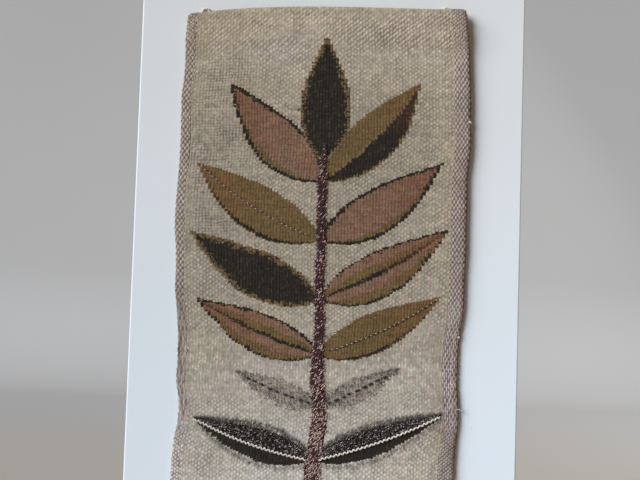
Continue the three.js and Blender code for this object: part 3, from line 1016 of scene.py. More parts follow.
def leaf_material(number, leaf, colours):
    """Weave of one leaf: its bands, outline, interlocking picks and tip, on the ground round it."""
    style = LEAF_STYLES[leaf["style"]]
    lean = math.radians(leaf["lean"])
    yarns = {
        "olive": tuple(colours.olive),
        "gold": tuple(colours.gold),
        "charcoal": tuple(colours.charcoal),
        "pink": tuple(colours.pink),
        "pile": tuple(colours.pile),
        "haze": HAZE,
    }
    shader = Shader(f"leaf_weave_{number:02d}")
    u, v = shader.weave_place(CLOTH_WANDER)
    ground, ground_relief, chance = ground_yarn(shader, u, v, colours)

    # Each pick droops from the top of its rib into the groove
    rib = shader.floor(u)
    arch, rib_dome = rib_round(shader, u)
    picks = shader.times_add(v, PICKS_PER_BEAD, shader.times(arch, 0.9))
    pick = shader.floor(picks)
    out = shader.times_add(rib, RIB * leaf["side"], (0.5 - RIBS / 2) * RIB * leaf["side"])
    up = shader.times_add(pick, -2 * ROW / PICKS_PER_BEAD, leaf["root"] - ROW / PICKS_PER_BEAD)
    ragged = shader.subtract(shader.chance(rib, shader.floor(shader.times(picks, 0.5))), 0.5)
    half_rib = shader.floor(shader.times(u, 2.0))
    speck = shader.chance(half_rib, shader.floor(shader.times(picks, 0.36)))
    mixed = shader.times_add(speck, 1.2, shader.subtract(ragged, 0.6))

    # Share along the leaf, distance above its midrib and depth inside its edge
    run = shader.times_add(out, math.sin(lean), shader.times(up, math.cos(lean)))
    share = shader.math("DIVIDE", run, leaf["length"])
    body = shader.math("MULTIPLY", share, 1.0, clamp=True)
    bow = shader.times(shader.times(share, shader.subtract(1.0, share)), 2 * leaf["bend"] * leaf["length"])
    off = shader.times_add(out, -math.cos(lean), shader.times(up, math.sin(lean)))
    off = shader.add(off, bow)
    swell = shader.math("SINE", shader.times(shader.math("POWER", body, LEAF_SWELL), math.pi))
    swell = shader.math("POWER", shader.math("MAXIMUM", swell, 0.0), LEAF_BLUNT)
    above = shader.math("GREATER_THAN", off, 0.0)
    half = shader.times(shader.times(swell, leaf["half"]), shader.spread(above, style["lower"], 1.0))
    depth = shader.subtract(half, shader.math("ABSOLUTE", off))
    depth = shader.times_add(ragged, 1.1, depth)
    between_ends = shader.math("GREATER_THAN", bow if leaf["bend"] else body, 0.0)
    inside = shader.times(shader.math("GREATER_THAN", depth, 0.0), between_ends)

    # Bands from the lower to the upper edge, then the outline
    level = shader.math("DIVIDE", off, shader.math("MAXIMUM", half, 0.5))
    level = shader.times_add(mixed, style["hatch"] / leaf["half"], level)
    level = shader.times_add(level, 0.5, 0.5, clamp=True)
    stops = [(start, rgba(yarns[yarn])) for yarn, start in style["bands"]]
    colour = shader.ramp(level, stops, steps=True)
    patch = shader.noise(shader.object_place(), 70.0, 3.0, 0.6)
    if style["tip"]:
        tip = shader.remap(body, TIP_START, 1.0, 0.0, style["tip"])
        tip = shader.times(tip, shader.times_add(patch, 2.6, -0.55, clamp=True))
        colour = shader.mix(tip, colour, rgba(colours.tip))
    edge = shader.times_add(mixed, style["hatch"], depth)
    edge = shader.math("LESS_THAN", edge, style["edge"])
    colour = shader.mix(edge, colour, rgba(yarns[style["outline"]]))

    # Heathered wefts, painted shade in the grooves between ribs and in thin lines between picks
    weft = shader.node("ShaderNodeCombineXYZ", {0: shader.times(u, 0.16), 1: shader.times(pick, 0.9)})
    weft = shader.noise(weft.outputs[0], 1.0, 2.0, 0.6)
    colour = shader.tint(colour, shader.ramp(weft, HEATHER))
    between = shader.math("PINGPONG", picks, 0.5)
    shade = shader.times(shader.spread(rib_dome, 0.68, 1.08), shader.spread(between, 0.92, 1.12))
    shade = shader.times(shade, shader.spread(speck, 0.80, 1.20))
    colour = shader.scale(colour, shade)
    glint = shader.times(shader.math("GREATER_THAN", speck, 0.90), 0.12)
    colour = shader.mix(glint, colour, rgba(colours.gold))

    colour = shader.mix(inside, ground, colour)
    height = shader.blend(inside, ground_relief, shader.times_add(between, 0.35, rib_dome))
    uneven = shader.blend(inside, GROUND_UNEVEN, LEAF_UNEVEN)
    colour, fibre = spun(shader, colour, chance, uneven)
    height = shader.times_add(fibre, 0.4, height)
    return shader.finish(colour, height, 0.30 * MM, sheen=0.05, gloss=0.12)


def plain_material(name, gap, body, crest_highlight, bead):
    """Woven yarn of one colour, from the painted shade of its gaps to the painted highlight of its crests."""
    shader = Shader(name)
    u, v = shader.weave_place(EDGE_WANDER)
    dome, chance = bead_dome(shader, u, v, bead)
    colour = shader.ramp(dome, [(0.0, rgba(gap)), (0.55, rgba(body)), (1.0, rgba(crest_highlight))])
    colour, fibre = spun(shader, colour, chance, BACK_UNEVEN)
    return shader.finish(colour, shader.times_add(fibre, 0.3, dome), 0.5 * MM)


def selvage_material(selvage, colours):
    """Oval beads of pale weft on purple warp, drawn out into chains or as fine as the ground in places."""
    shader = Shader(selvage["name"] + "_beads")
    u, v = shader.weave_place(EDGE_WANDER)
    warp_shows, chained, fine = shader.parts(shader.attribute("zones", "Vector"))
    dome, chance = bead_dome(shader, u, v, OVAL)
    drawn_out, _ = bead_dome(shader, u, v, {**CHAINED, "down": selvage["chains"]})
    small, _ = bead_dome(shader, u, v, EDGE_BEADED)
    dome = shader.blend(chained, dome, drawn_out)
    dome = shader.blend(fine, dome, shader.spread(small, 0.05, 0.90))
    gap = shader.mix(warp_shows, rgba(colours.ground_gap), rgba(colours.selvage_gap))
    weft = shader.mix(warp_shows, rgba(colours.ground), rgba(colours.selvage_weft))
    body = shader.times_add(dome, 1.5, selvage["soft"], clamp=True)
    colour = shader.mix(body, gap, weft)
    # Painted shade and highlight across each bead's dome
    colour = shader.scale(colour, shader.spread(dome, 0.90, 1.14))
    colour = shader.tint(colour, shader.attribute("dye_and_light", "Vector"))
    colour, fibre = spun(shader, colour, chance, SELVAGE_UNEVEN)
    return shader.finish(colour, shader.times_add(fibre, 0.3, shader.times(dome, dome)), 0.40 * MM)


def strand_material(name, colours, gloss=0.2, sheen=0.3, relief=0.25):
    """Spun yarn or hair whose shade runs from the first colour to the last."""
    shader = Shader(name)
    last = len(colours) - 1
    stops = [(i / last, rgba(colour)) for i, colour in enumerate(colours)]
    colour = shader.ramp(shader.attribute("shade"), stops)
    fibre = shader.noise(shader.object_place(), 1900.0, 3.0, 0.7)
    colour = shader.scale(colour, shader.spread(fibre, 0.7, 1.3))
    return shader.finish(colour, fibre, relief * MM, sheen=sheen, gloss=gloss)


def paint_material(colour, stipple_depth):
    """Satin board paint with a fine roller stipple, faint specks, and painted light, warmer towards its top
    and paler to the right.
    """
    shader = Shader("board_satin_paint")
    place = shader.object_place()
    stipple = shader.noise(place, 620.0, 4.0, 0.6)
    drift = shader.noise(place, 5.0, 2.0)
    speck = shader.node("ShaderNodeTexVoronoi", {"Vector": place, "Scale": 42.0}).outputs["Distance"]
    speck = shader.math("LESS_THAN", speck, 0.03)
    rare = shader.math("GREATER_THAN", shader.noise(place, 11.0, 0.0), 0.64)
    x, _y, z = shader.parts(place)
    # Painted light: warmer towards the top, paler to the right
    high = shader.remap(z, 0.0, 0.45)
    surface = shader.mix(high, rgba(colour), rgba(c * top_light for c, top_light in zip(colour, PAINT_TOP_LIGHT)))
    surface = shader.scale(surface, shader.times_add(x, PAINT_RIGHT_LIGHT, 1.0))
    surface = shader.scale(surface, shader.spread(drift, 0.97, 1.02))
    speck = shader.times(shader.times(speck, rare), 0.22)
    surface = shader.mix(speck, surface, PAINT_SPECK)
    return shader.finish(surface, stipple, stipple_depth, roughness=0.45, sheen=0.0, gloss=0.35)


def shades(colour, *factors):
    """Darker and lighter shades of a colour."""
    return [tuple(channel * factor for channel in colour) for factor in factors]


def cloth_materials(colours):
    """Materials of the cloth, in the order of its slots."""
    made = [ground_material(colours)]
    made += [leaf_material(number, leaf, colours) for number, leaf in enumerate(LEAVES)]
    made.append(plain_material("stem_ground", *shades(colours.wine, 0.35, 0.8, 1.0), SQUARE))
    made.append(plain_material("cloth_back", colours.ground_gap, *shades(colours.ground, 0.9, 1.0), BEADED))
    return made


# The woven sheet


def sheet_columns():
    """Rib coordinates of the sheet's columns: half ribs between the selvages, a few under them."""
    fine = np.arange(FIRST_RIB * 2, LAST_RIB * 2 + 1) / 2
    return np.concatenate([HIDDEN_RIBS_LEFT, fine, HIDDEN_RIBS_RIGHT])


def weave_relief(rib, line, in_groove, motif, zones):
    """Height of the weave at the sheet's points, in millimetres."""
    contrast, square, floats = zones
    draw = np.random.default_rng(3)
    left = np.floor(rib - 0.25).astype(int)
    raised = (line + left) % 2 == np.where(in_groove, 0, 1)
    beads = np.where(in_groove, np.where(raised, BEAD_RIDGE, BEAD_GROOVE),
                     np.where(raised, BEAD_TOP, BEAD_JOINT)) * contrast
    squares = np.where(in_groove, SQUARE_GROOVE, np.where(line % 2 == 1, SQUARE_TOP, SQUARE_JOINT))
    phase = (line + (left % 2) * (FLOAT_ROWS // 2)) % FLOAT_ROWS
    floating = np.where(in_groove, FLOAT_GROOVE, FLOAT_TOP * np.sin(math.pi * phase / FLOAT_ROWS))
    ground = blend(floats, blend(square, beads, squares), floating)
    ground = ground + contrast * draw.uniform(-BEAD_UNEVEN, BEAD_UNEVEN, ground.shape)
    ribs = np.where(in_groove, MOTIF_GROOVE, MOTIF_TOP)
    ribs = ribs + draw.uniform(-MOTIF_UNEVEN, MOTIF_UNEVEN, ground.shape)
    height = blend(smoothstep(motif, -1.2, 0.6), ground, ribs)
    height = height + SHEET_UNEVEN * ripple(rib / 3.1, line / 5.0, 23)
    height = np.where((rib < FIRST_RIB) | (rib > LAST_RIB), HIDDEN_HEIGHT, height)
    return np.where((line == 0) | (line == ROWS), RIM_HEIGHT, height)


def rim_places(wide, tall):
    """Column and line numbers round the sheet's rim."""
    top = [(c, 0) for c in range(wide - 1)]
    right = [(wide - 1, r) for r in range(tall - 1)]
    bottom = [(c, tall - 1) for c in range(wide - 1, 0, -1)]
    left = [(0, r) for r in range(tall - 1, 0, -1)]
    return top + right + bottom + left


def back_faces(wide, tall):
    """Coarse faces of the sheet's back, as rings of column and line numbers that meet the fine rim."""
    columns = sorted({*range(0, wide, BACK_STEP), wide - 1})
    lines = sorted({*range(0, tall, BACK_STEP), tall - 1})
    for c0, c1 in zip(columns, columns[1:]):
        for r0, r1 in zip(lines, lines[1:]):
            top = range(c0, c1 + 1) if r0 == 0 else (c0, c1)
            right = range(r0, r1 + 1) if c1 == wide - 1 else (r0, r1)
            bottom = range(c1, c0 - 1, -1) if r1 == tall - 1 else (c1, c0)
            left = range(r1, r0 - 1, -1) if c0 == 0 else (r1, r0)
            ring = [(c, r0) for c in top] + [(c1, r) for r in right]
            ring += [(c, r1) for c in bottom] + [(c0, r) for r in left]
            yield list(dict.fromkeys(ring))


def woven_sheet(colours):
    """The main cloth: fine front relief, an even coarse back, and a rim that joins them."""
    columns = sheet_columns()
    rib, line = np.meshgrid(columns, np.arange(ROWS + 1), indexing="ij")
    wide, tall = rib.shape
    fine = (rib >= FIRST_RIB) & (rib <= LAST_RIB)
    in_groove = fine & (rib % 1 == 0)
    off_rim = np.minimum(smoothstep(line, 0, 6), smoothstep(ROWS - line, 0, 6))
    sunk = line + 0.5 * in_groove * off_rim
    x = (rib - RIBS / 2) * RIB
    motif, _ = chart_design(x, sunk * ROW)
    zones = ground_zones(x, sunk * ROW)
    height = weave_relief(rib, line, in_groove, motif, zones)
    across = (rib + fine * RIB_WANDER * ripple(rib / 1.7, line / 7.0, 21)) / RIBS
    down = (sunk + off_rim * ROW_WANDER * ripple(rib / 5.0, line / 2.6, 22)) * ROW
    front = cloth_points(across, down, height).reshape(-1, 3)

    middle_x = (x[:-1, :-1] + x[1:, :-1]) / 2
    middle_down = (line[:-1, :-1] + 0.5) * ROW
    _, slots = chart_design(middle_x, middle_down)
    numbers = np.arange(wide * tall).reshape(wide, tall)
    quads = np.stack([numbers[:-1, :-1], numbers[:-1, 1:], numbers[1:, 1:], numbers[1:, :-1]], axis=-1)
    faces = [tuple(quad) for quad in quads.reshape(-1, 4).tolist()]
    slots = slots.ravel().tolist()

    back = {}

    def back_vertex(place):
        return back.setdefault(place, wide * tall + len(back))

    rim = rim_places(wide, tall)
    for here, there in zip(rim, rim[1:] + rim[:1]):
        faces.append((int(numbers[here]), int(numbers[there]), back_vertex(there), back_vertex(here)))
    faces += [tuple(back_vertex(place) for place in ring) for ring in back_faces(wide, tall)]
    slots += [BACK_SLOT] * (len(faces) - len(slots))

    places = tuple(np.array(list(back)).T)
    points = np.concatenate([front, cloth_points(across[places], down[places], 0.0, back=True)])
    mesh = bpy.data.meshes.new("woven_cloth")
    mesh.from_pydata(points.tolist(), [], faces)
    mesh.polygons.foreach_set("material_index", np.array(slots, np.int32))
    mesh.polygons.foreach_set("use_smooth", [True] * len(faces))

    def with_back(values):
        return np.concatenate([values.reshape(wide * tall, -1), values[places].reshape(len(back), -1)])

    set_weave_uv(mesh, with_back(np.stack([rib, sunk / 2], axis=-1)))
    set_vectors(mesh, "zones", with_back(np.stack(zones, axis=-1)))
    set_vectors(mesh, "dye_and_light", with_back(ground_dye_and_light(x, sunk * ROW)))
    return link_piece("woven_cloth", mesh, cloth_materials(colours))


# Selvages


def selvage_ring(selvage):
    """Points round a selvage: share of its width, height over the front, and bead column."""
    columns = selvage["columns"]
    ring = [(0.0, -1.7, 0.0)]
    ring += [(step / (columns * 2), 0.05, step / 2) for step in range(1, columns * 2 + 1)]
    ring += [(1.0, -1.2, columns + 0.3), (0.985, -2.4, columns + 0.6)]
    return ring + [(0.6, -2.6, columns + 0.9), (0.2, -2.4, columns + 1.2)]


def selvage_strip(selvage, material):
    """Closed strip of staggered oval beads along one side edge."""
    ring = selvage_ring(selvage)
    count = round(CLOTH_LENGTH / (SELVAGE_BEAD / SELVAGE_STEPS))
    lines = np.arange(count + 1)
    down = lines * CLOTH_LENGTH / count
    width = along(SIDE_EDGES, "right", down) - along(SIDE_EDGES, "left", down)
    draw = np.random.default_rng(40 + selvage["side"])
    outward = SELVAGE_WAVE * np.sin(math.tau * down / SELVAGE_BEAD)
    outward = outward + draw.uniform(-SELVAGE_RAGGED, SELVAGE_RAGGED, count + 1)
    outward = outward + SELVAGE_SWAY * ripple(down / 7.0, 0 * down, 41 + selvage["side"])
    points, weave, places = [], [], []
    for share, over, column in ring:
        reach = selvage["width"] * share + outward * share ** 3
        inset = (selvage["width"] - reach) / width
        across = inset if selvage["side"] < 0 else 1 - inset
        height = np.full(count + 1, over)
        if over > 0:
            bead = math.ceil(column) - 1
            phase = (lines + (bead % 2) * SELVAGE_STEPS / 2) / SELVAGE_STEPS
            dome = 0.5 - 0.5 * np.cos(math.tau * phase)
            raised = SELVAGE_DOME * dome if column % 1 else 0.10
            height = over - SELVAGE_DOME / 2 + raised
            height = height + draw.uniform(-0.08, 0.08, count + 1) - selvage["roll"] * share ** 5
        down_here = down + 0.5 * ripple(down / 9.0, 0 * down + column, 43)
        down_here[[0, -1]] = down[[0, -1]]
        points.append(cloth_points(across, down_here, height))
        weave.append(np.stack([np.full(count + 1, column), lines / SELVAGE_STEPS], axis=-1))
        places.append((across * RIBS - RIBS / 2) * RIB)
    sides = len(ring)
    faces = []
    for side in range(sides):
        for line in range(count):
            a, b = side * (count + 1) + line, (side + 1) % sides * (count + 1) + line
            faces.append((a, a + 1, b + 1, b))
    faces.append(tuple(side * (count + 1) for side in range(sides)))
    faces.append(tuple(side * (count + 1) + count for side in reversed(range(sides))))
    if selvage["side"] < 0:
        faces = [face[::-1] for face in faces]
    mesh = bpy.data.meshes.new(selvage["name"])
    mesh.from_pydata(np.array(points).reshape(-1, 3).tolist(), [], faces)
    mesh.polygons.foreach_set("use_smooth", [True] * len(faces))
    set_weave_uv(mesh, np.array(weave).reshape(-1, 2))
    table = LEFT_SELVAGE if selvage["side"] < 0 else RIGHT_SELVAGE
    zones = np.stack([along(table, zone, down) for zone in ("warp", "chained", "fine")], axis=-1)
    zones = np.tile(zones[None], (sides, 1, 1))
    zones[..., 0] *= smoothstep([share for share, _over, _column in ring], -0.08, SELVAGE_FADE)[:, None]
    set_vectors(mesh, "zones", zones)
    dye_and_light = ground_dye_and_light(np.array(places), np.broadcast_to(down, (sides, count + 1)))
    # The outer edge is darkened by soil and painted shade
    soil_and_shade = smoothstep([share for share, _over, _column in ring], *SOIL_AND_SHADE_REACH) * selvage["soil_and_shade"]
    set_vectors(mesh, "dye_and_light", dye_and_light * (1 - soil_and_shade[:, None, None] * np.array(SOIL_AND_SHADE_TINT)))
    return link_piece(selvage["name"], mesh, [material])


# Worked yarns


def wrapped_stem(materials):
    """Rough slanted wraps of yarn that stand proud along the stem, and hairs that stray from it."""
    strands = Strands()
    draw = random.Random(51)
    over = np.linspace(-1, 1, 5)
    away = np.linspace(0, 1, 4)
    down = STEM[1]["down"] - WRAPS["start"]
    while down < STEM[-1]["down"] - WRAPS["end"]:
        half = float(along(STEM, "half", down)) + draw.uniform(*WRAPS["ragged"])
        shift = STEM_SWAY * float(ripple(down / STEM_SWAY_PITCH, 0.0, 13))
        pale_share = blend(float(smoothstep(down, *WRAPS["pale_from"])), *WRAPS["pale"])
        count = max(1, round(2 * half / WRAPS["apart"]))
        for number in range(count):
            x = shift - half + (number + 0.5) * 2 * half / count + draw.uniform(-0.6, 0.6)
            reach = draw.uniform(*WRAPS["reach"])
            tilt = draw.uniform(*WRAPS["tilt"])
            arch = draw.uniform(*WRAPS["lift"]) * (1 - over ** 2) + 0.15
            wiggle = np.array([draw.uniform(-0.2, 0.2) for _ in over])
            route = design_points(x + over * reach, down - over * tilt + wiggle, arch)
            radii = draw.uniform(*WRAPS["radius"]) * MM * np.array([0.55, 0.95, 1.0, 0.95, 0.55])
            # Pale wraps are partly painted highlight
            pale = draw.random() < pale_share
            strands.add(route, radii, 4, 0, draw.uniform(0.78, 1.0) if pale else draw.uniform(0.0, 0.6))
        for side in (-1, 1):
            if draw.random() < STRAYS["share"]:
                x = shift + side * (half - 0.5 + away * draw.uniform(*STRAYS["reach"]))
                route = design_points(x, down - away * draw.uniform(*STRAYS["drop"]), 0.3 + 0.8 * away)
                strands.add(route, STRAYS["radius"] * MM * (1 - 0.6 * away), 3, 0, draw.random() * 0.3)
        down += draw.uniform(*WRAPS["step"])
    return strands.build("wrapped_stem", materials)


def two_ply(strands, route, radius, pitch, slot, shades, sides=6):
    """Twists two plies round a route of points in metres."""
    route = np.asarray(route, float)
    lengths = np.concatenate([[0], np.cumsum(np.linalg.norm(np.diff(route, axis=0), axis=1))])
    steps = max(8, int(lengths[-1] / pitch * 9))
    at = np.linspace(0, lengths[-1], steps)
    line = np.stack([np.interp(at, lengths, route[:, k]) for k in range(3)], axis=1)
    out, other = across_route(line, (0.1, -1.0, 0.05))
    ends = np.minimum(1, np.minimum(at, lengths[-1] - at) / radius + 0.35)
    for ply, shade in enumerate(shades):
        turn = at / pitch * math.tau + ply * math.pi
        centre = line + radius * 0.5 * (np.cos(turn)[:, None] * out + np.sin(turn)[:, None] * other)
        strands.add(centre, radius * 0.56 * ends, sides, slot, shade)


def leaf_cords(materials):
    """Pale twisted cord along the midrib of each pile leaf, and running stitches on the stitched leaves."""
    strands = Strands()
    draw = random.Random(61)
    for leaf in LEAVES:
        if leaf["style"] == "pile_leaf":
            shares = np.linspace(0.05, 0.985, 180)
            zigzag = CORD["swing"] * np.sin(shares * leaf["length"] / CORD["half_swing"] * math.pi)
            route = design_points(*leaf_point(leaf, shares, zigzag), CORD["above"])
            two_ply(strands, route, CORD["radius"] * MM, CORD["twist"] * MM, 0, (0.45, 1.0))
        if LEAF_STYLES[leaf["style"]]["stitched"]:
            spaced = STITCHES["pitch"] / leaf["length"]
            share = 0.08
            while share < 0.94:
                ends = np.linspace(share, share + spaced * 0.6, 5)
                x, down = leaf_point(leaf, ends, draw.uniform(-0.3, 0.3))
                arch = 0.3 + 0.45 * np.sin(np.linspace(0, math.pi, 5))
                strands.add(design_points(x, down, arch), STITCHES["dark"] * MM, 5, 1, draw.random())
                ends = np.linspace(share + spaced * 0.66, share + spaced * 0.94, 4)
                x, down = leaf_point(leaf, ends, draw.uniform(-0.3, 0.3))
                arch = 0.1 + 0.4 * np.sin(np.linspace(0, math.pi, 4))
                strands.add(design_points(x, down, arch), STITCHES["pale"] * MM, 5, 0, draw.random())
                share += spaced * draw.uniform(0.94, 1.06)
    return strands.build("leaf_cords", materials)


def brushed_hair(strands, draw, leaf, hairs):
    """One brushed hair, rooted between two distances from a leaf's midrib in parts of its half width."""
    share = draw.uniform(0.03, 0.99)
    reach = draw.uniform(hairs["from"], hairs["to"])
    off = float(leaf_half(leaf, share, reach)) * reach
    comb = draw.uniform(hairs["short"], hairs["long"])
    x, down = leaf_point(leaf, share, off)
    steps = np.linspace(0, 1, 4)
    drift = draw.uniform(-HAIR_DRIFT, HAIR_DRIFT)
    above = 0.15 + draw.uniform(*HAIR_RISE) * np.sin(steps * 2.2)
    route = design_points(x + (drift + leaf["side"] * 0.6) * steps, down - comb * steps, above)
    thick = draw.uniform(*HAIR_THICKNESS) * hairs["radius"]
    strands.add(route, thick * MM * np.array([1.0, 0.9, 0.7, 0.35]), 3, hairs["slot"], draw.random())


def pile_knot(strands, draw, leaf):
    """One small raised knot in the dark half of a pile leaf."""
    share = draw.uniform(0.06, 0.97)
    off = float(leaf_half(leaf, share, 1.0)) * draw.uniform(*PILE_KNOTS["off"])
    x, down = leaf_point(leaf, share, off)
    steps = np.linspace(-1, 1, 3)
    route = design_points(x + steps * 0.6, down - steps * 0.4, 0.7 + 0.35 * (1 - steps ** 2))
    radii = draw.uniform(*PILE_KNOTS["radius"]) * MM * np.array([0.6, 1.0, 0.6])
    # Most knots are dark; the few pale ones are painted glints of light
    strands.add(route, radii, 5, 2, draw.random() ** 1.5)


def leaf_pile(materials):
    """Brushed hairs and knots of the pile leaves, and the grey haze of the pale ones."""
    strands = Strands()
    draw = random.Random(71)
    for leaf in LEAVES:
        for hairs in BRUSHED_HAIRS:
            if hairs["style"] == leaf["style"]:
                for _ in range(hairs["count"]):
                    brushed_hair(strands, draw, leaf, hairs)
        if leaf["style"] == "pile_leaf":
            for _ in range(PILE_KNOTS["count"]):
                pile_knot(strands, draw, leaf)
    return strands.build("leaf_pile", materials)


def pale_veins(materials):
    """Broken dark vein of each pale leaf."""
    strands = Strands()
    draw = random.Random(81)
    for leaf in LEAVES:
        if leaf["style"] != "pale_leaf":
            continue
        share = VEINS["start"]
        while share < VEINS["end"]:
            ends = np.linspace(share, share + draw.uniform(*VEINS["length"]), 4)
            x, down = leaf_point(leaf, ends, draw.uniform(-0.6, 0.6))
            arch = 0.7 + 0.5 * np.sin(np.linspace(0, math.pi, 4))
            radii = draw.uniform(*VEINS["radius"]) * MM * np.array([0.6, 1.0, 1.0, 0.6])
            strands.add(design_points(x, down, arch), radii, 6, 0, draw.random())
            share += draw.uniform(*VEINS["step"])
    return strands.build("pale_veins", materials)


def hem_stitches(materials):
    """Small slanting stitches that hold the turned top edge, nearly hidden in the weave."""
    strands = Strands()
    draw = random.Random(91)
    x = HEM_STITCHES["left"]
    while x < HEM_STITCHES["right"]:
        slant = np.linspace(-1, 1, 5)
        down = HEM_DEPTH + draw.uniform(-0.8, 0.8)
        above = 0.12 * (1 - slant ** 2)
        route = design_points(x + slant * draw.uniform(*HEM_STITCHES["reach"]), down - slant * 0.8, above)
        strands.add(route, draw.uniform(*HEM_STITCHES["radius"]) * MM, 5, 0, draw.uniform(0.6, 1.0))
        x += draw.uniform(*HEM_STITCHES["step"])
    return strands.build("hem_stitches", materials)


def edge_ends(materials):
    """Knots, short loose ends and stray fibres at the cloth's edges."""
    strands = Strands()
    draw = random.Random(95)
    for knot in EDGE_KNOTS:
        side = 1 if knot["across"] > 0.5 else -1
        root = cloth_points(knot["across"], knot["down"], -1.2)
        steps = np.linspace(0, 1, 9)
        bend = np.stack([side * (knot["out"] * steps - 1.5), -1.2 * np.sin(steps * math.pi),
                         -(knot["droop"] * steps ** 2 - 0.5 * np.sin(steps * 5))], axis=1)
        route = root[None, :] + bend * MM
        strands.add(route, knot["radius"] * MM * (1 - 0.5 * steps ** 3), 7, 0, draw.random())
        for _ in range(4):
            tip = np.array([side * draw.uniform(0.5, 2.0), draw.uniform(-1.0, 0.4), draw.uniform(-1.5, 1.0)])
            wisp = route[-1][None, :] + np.linspace(0, 1, 4)[:, None] * tip[None, :] * MM
            strands.add(wisp, 0.12 * MM * np.array([1, 0.9, 0.7, 0.3]), 3, 0, draw.random())
    steps = np.linspace(0, 1, 4)
    for fuzz in EDGE_FUZZ:
        across = 0.001 if fuzz["side"] < 0 else 0.999
        for _ in range(fuzz["count"]):
            root = cloth_points(across, draw.uniform(2, CLOTH_LENGTH - 2), draw.uniform(-4.4, -0.6))
            out = fuzz["side"] * draw.uniform(fuzz["least"], fuzz["most"])
            tip = np.array([out, draw.uniform(-0.6, 1.0), draw.uniform(-1.8, 1.8)])
            curl = 0.4 * np.sin(steps * draw.uniform(2.0, 5.0))
            route = root + (steps[:, None] * tip + curl[:, None] * np.array([0.0, 0.3, 1.0])) * MM
            strands.add(route, fuzz["radius"] * MM * (1 - 0.7 * steps), 3, fuzz["slot"], draw.random())
    for _ in range(TOP_FUZZ):
        root = cloth_points(draw.uniform(0.01, 0.99), 0.2, draw.uniform(-3.5, -1.0))
        tip = np.array([draw.uniform(-1.2, 1.2), draw.uniform(-0.8, 0.4), draw.uniform(0.2, 1.1)])
        strands.add(root + steps[:, None] * tip * MM, 0.06 * MM * (1 - 0.7 * steps), 3, 0, draw.random())
    return strands.build("edge_ends", materials)


def yarn_loop(loop, materials):
    """Loop of two-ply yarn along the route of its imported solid."""
    start = SIDE_EDGES[0]
    across = (loop["x"] - start["left"]) / (start["right"] - start["left"])
    edge = TOP_LEFT_Z + float(weft_rise(np.float64(across), np.float64(0)))
    reach = loop["width"] / 2 - LOOP_YARN_RADIUS
    spring = edge + loop["above"] - LOOP_YARN_RADIUS - reach
    turn = np.linspace(0, math.pi, 15)
    x = np.concatenate([[-reach], -reach * np.cos(turn), [reach]]) + loop["x"]
    z = np.concatenate([[edge - LOOP_TAIL], spring + reach * np.sin(turn), [edge - LOOP_TAIL]])
    y = np.full(len(x), -BOARD_FRONT - LOOP_GAP - LOOP_YARN_RADIUS)
    strands = Strands()
    route = np.stack([x, y, z], axis=1) * MM
    two_ply(strands, route, LOOP_YARN_RADIUS * MM, LOOP_TWIST * MM, 0, (0.4, 0.8), 8)
    return strands.build(loop["name"] + "_yarn", materials)


# Sizes and colours that a user would change


def colour_property(name, description, default):
    """Colour that shows as a swatch in the panel."""
    return bpy.props.FloatVectorProperty(
        name=name, description=description, subtype="COLOR", default=default, min=0, max=1)


class TapestryColours(bpy.types.PropertyGroup):
    """Yarn and paint colours, as scene-linear values."""

    ground: colour_property("Ground", "Undyed yarn of the ground", (0.45, 0.382, 0.282))
    ground_gap: colour_property("Ground gaps", "Shadow between the ground's beads", (0.235, 0.182, 0.135))
    selvage_weft: colour_property("Selvage weft", "Yarn of the selvages' beads", (0.435, 0.366, 0.31))
    selvage_gap: colour_property("Selvage gaps", "Purple-brown warp in the selvages", (0.195, 0.143, 0.123))
    olive: colour_property("Olive", "Olive-brown leaf yarn", (0.165, 0.108, 0.046))
    gold: colour_property("Old gold", "Paler olive yarn of outlines", (0.19, 0.125, 0.060))
    charcoal: colour_property("Charcoal", "Near-black leaf yarn", (0.028, 0.024, 0.018))
    pink: colour_property("Dusty pink", "Faded pink leaf yarn", (0.232, 0.134, 0.087))
    tip: colour_property("Leaf tips", "Orange-brown that creeps into leaf tips", (0.21, 0.075, 0.032))
    wine: colour_property("Wine", "Stem yarn", (0.11, 0.034, 0.032))
    pile: colour_property("Pile", "Purplish black of the brushed pile", (0.034, 0.022, 0.018))
    paint: colour_property("Board paint", "Off-white satin paint", (0.86, 0.93, 0.985))


class TapestryStage(bpy.types.PropertyGroup):
    """Floor, backdrop and light."""

    backdrop_distance: bpy.props.FloatProperty(
        name="Backdrop distance", description="How far behind the board the backdrop stands",
        default=3.2, min=2.0, unit="LENGTH")
    day_strength: bpy.props.FloatProperty(
        name="Daylight", description="Strength of the soft daylight from the upper left", default=4.45, min=0)
    day_spread: bpy.props.FloatProperty(
        name="Daylight spread", description="Apparent width of the daylight's source",
        default=math.radians(40), min=0, subtype="ANGLE")
    room_light: bpy.props.FloatProperty(
        name="Room light", description="Strength of the warm light all round", default=0.05, min=0)
    stipple_depth: bpy.props.FloatProperty(
        name="Paint stipple", description="Depth of the roller stipple in the board's paint",
        default=0.00012, min=0, unit="LENGTH")


# Operators


class TAPESTRY_OT_board(bpy.types.Operator):
    """Paints the board"""

    bl_idname = "tapestry.board"
    bl_label = "Paint Board"

    def execute(self, context):
        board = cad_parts["board"]
        scene = context.scene
        paint = paint_material(scene.tapestry_colours.paint, scene.tapestry_stage.stipple_depth)
        board.data.materials.clear()
        board.data.materials.append(paint)
        return {"FINISHED"}


class TAPESTRY_OT_weave(bpy.types.Operator):
    """Weaves the cloth with its design, and its two selvages"""

    bl_idname = "tapestry.weave"
    bl_label = "Weave Cloth"

    def execute(self, context):
        colours = context.scene.tapestry_colours
        cloth = woven_sheet(colours)
        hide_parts("tapestry")
        for selvage in SELVAGES:
            selvage_strip(selvage, selvage_material(selvage, colours))
        return {"FINISHED"}


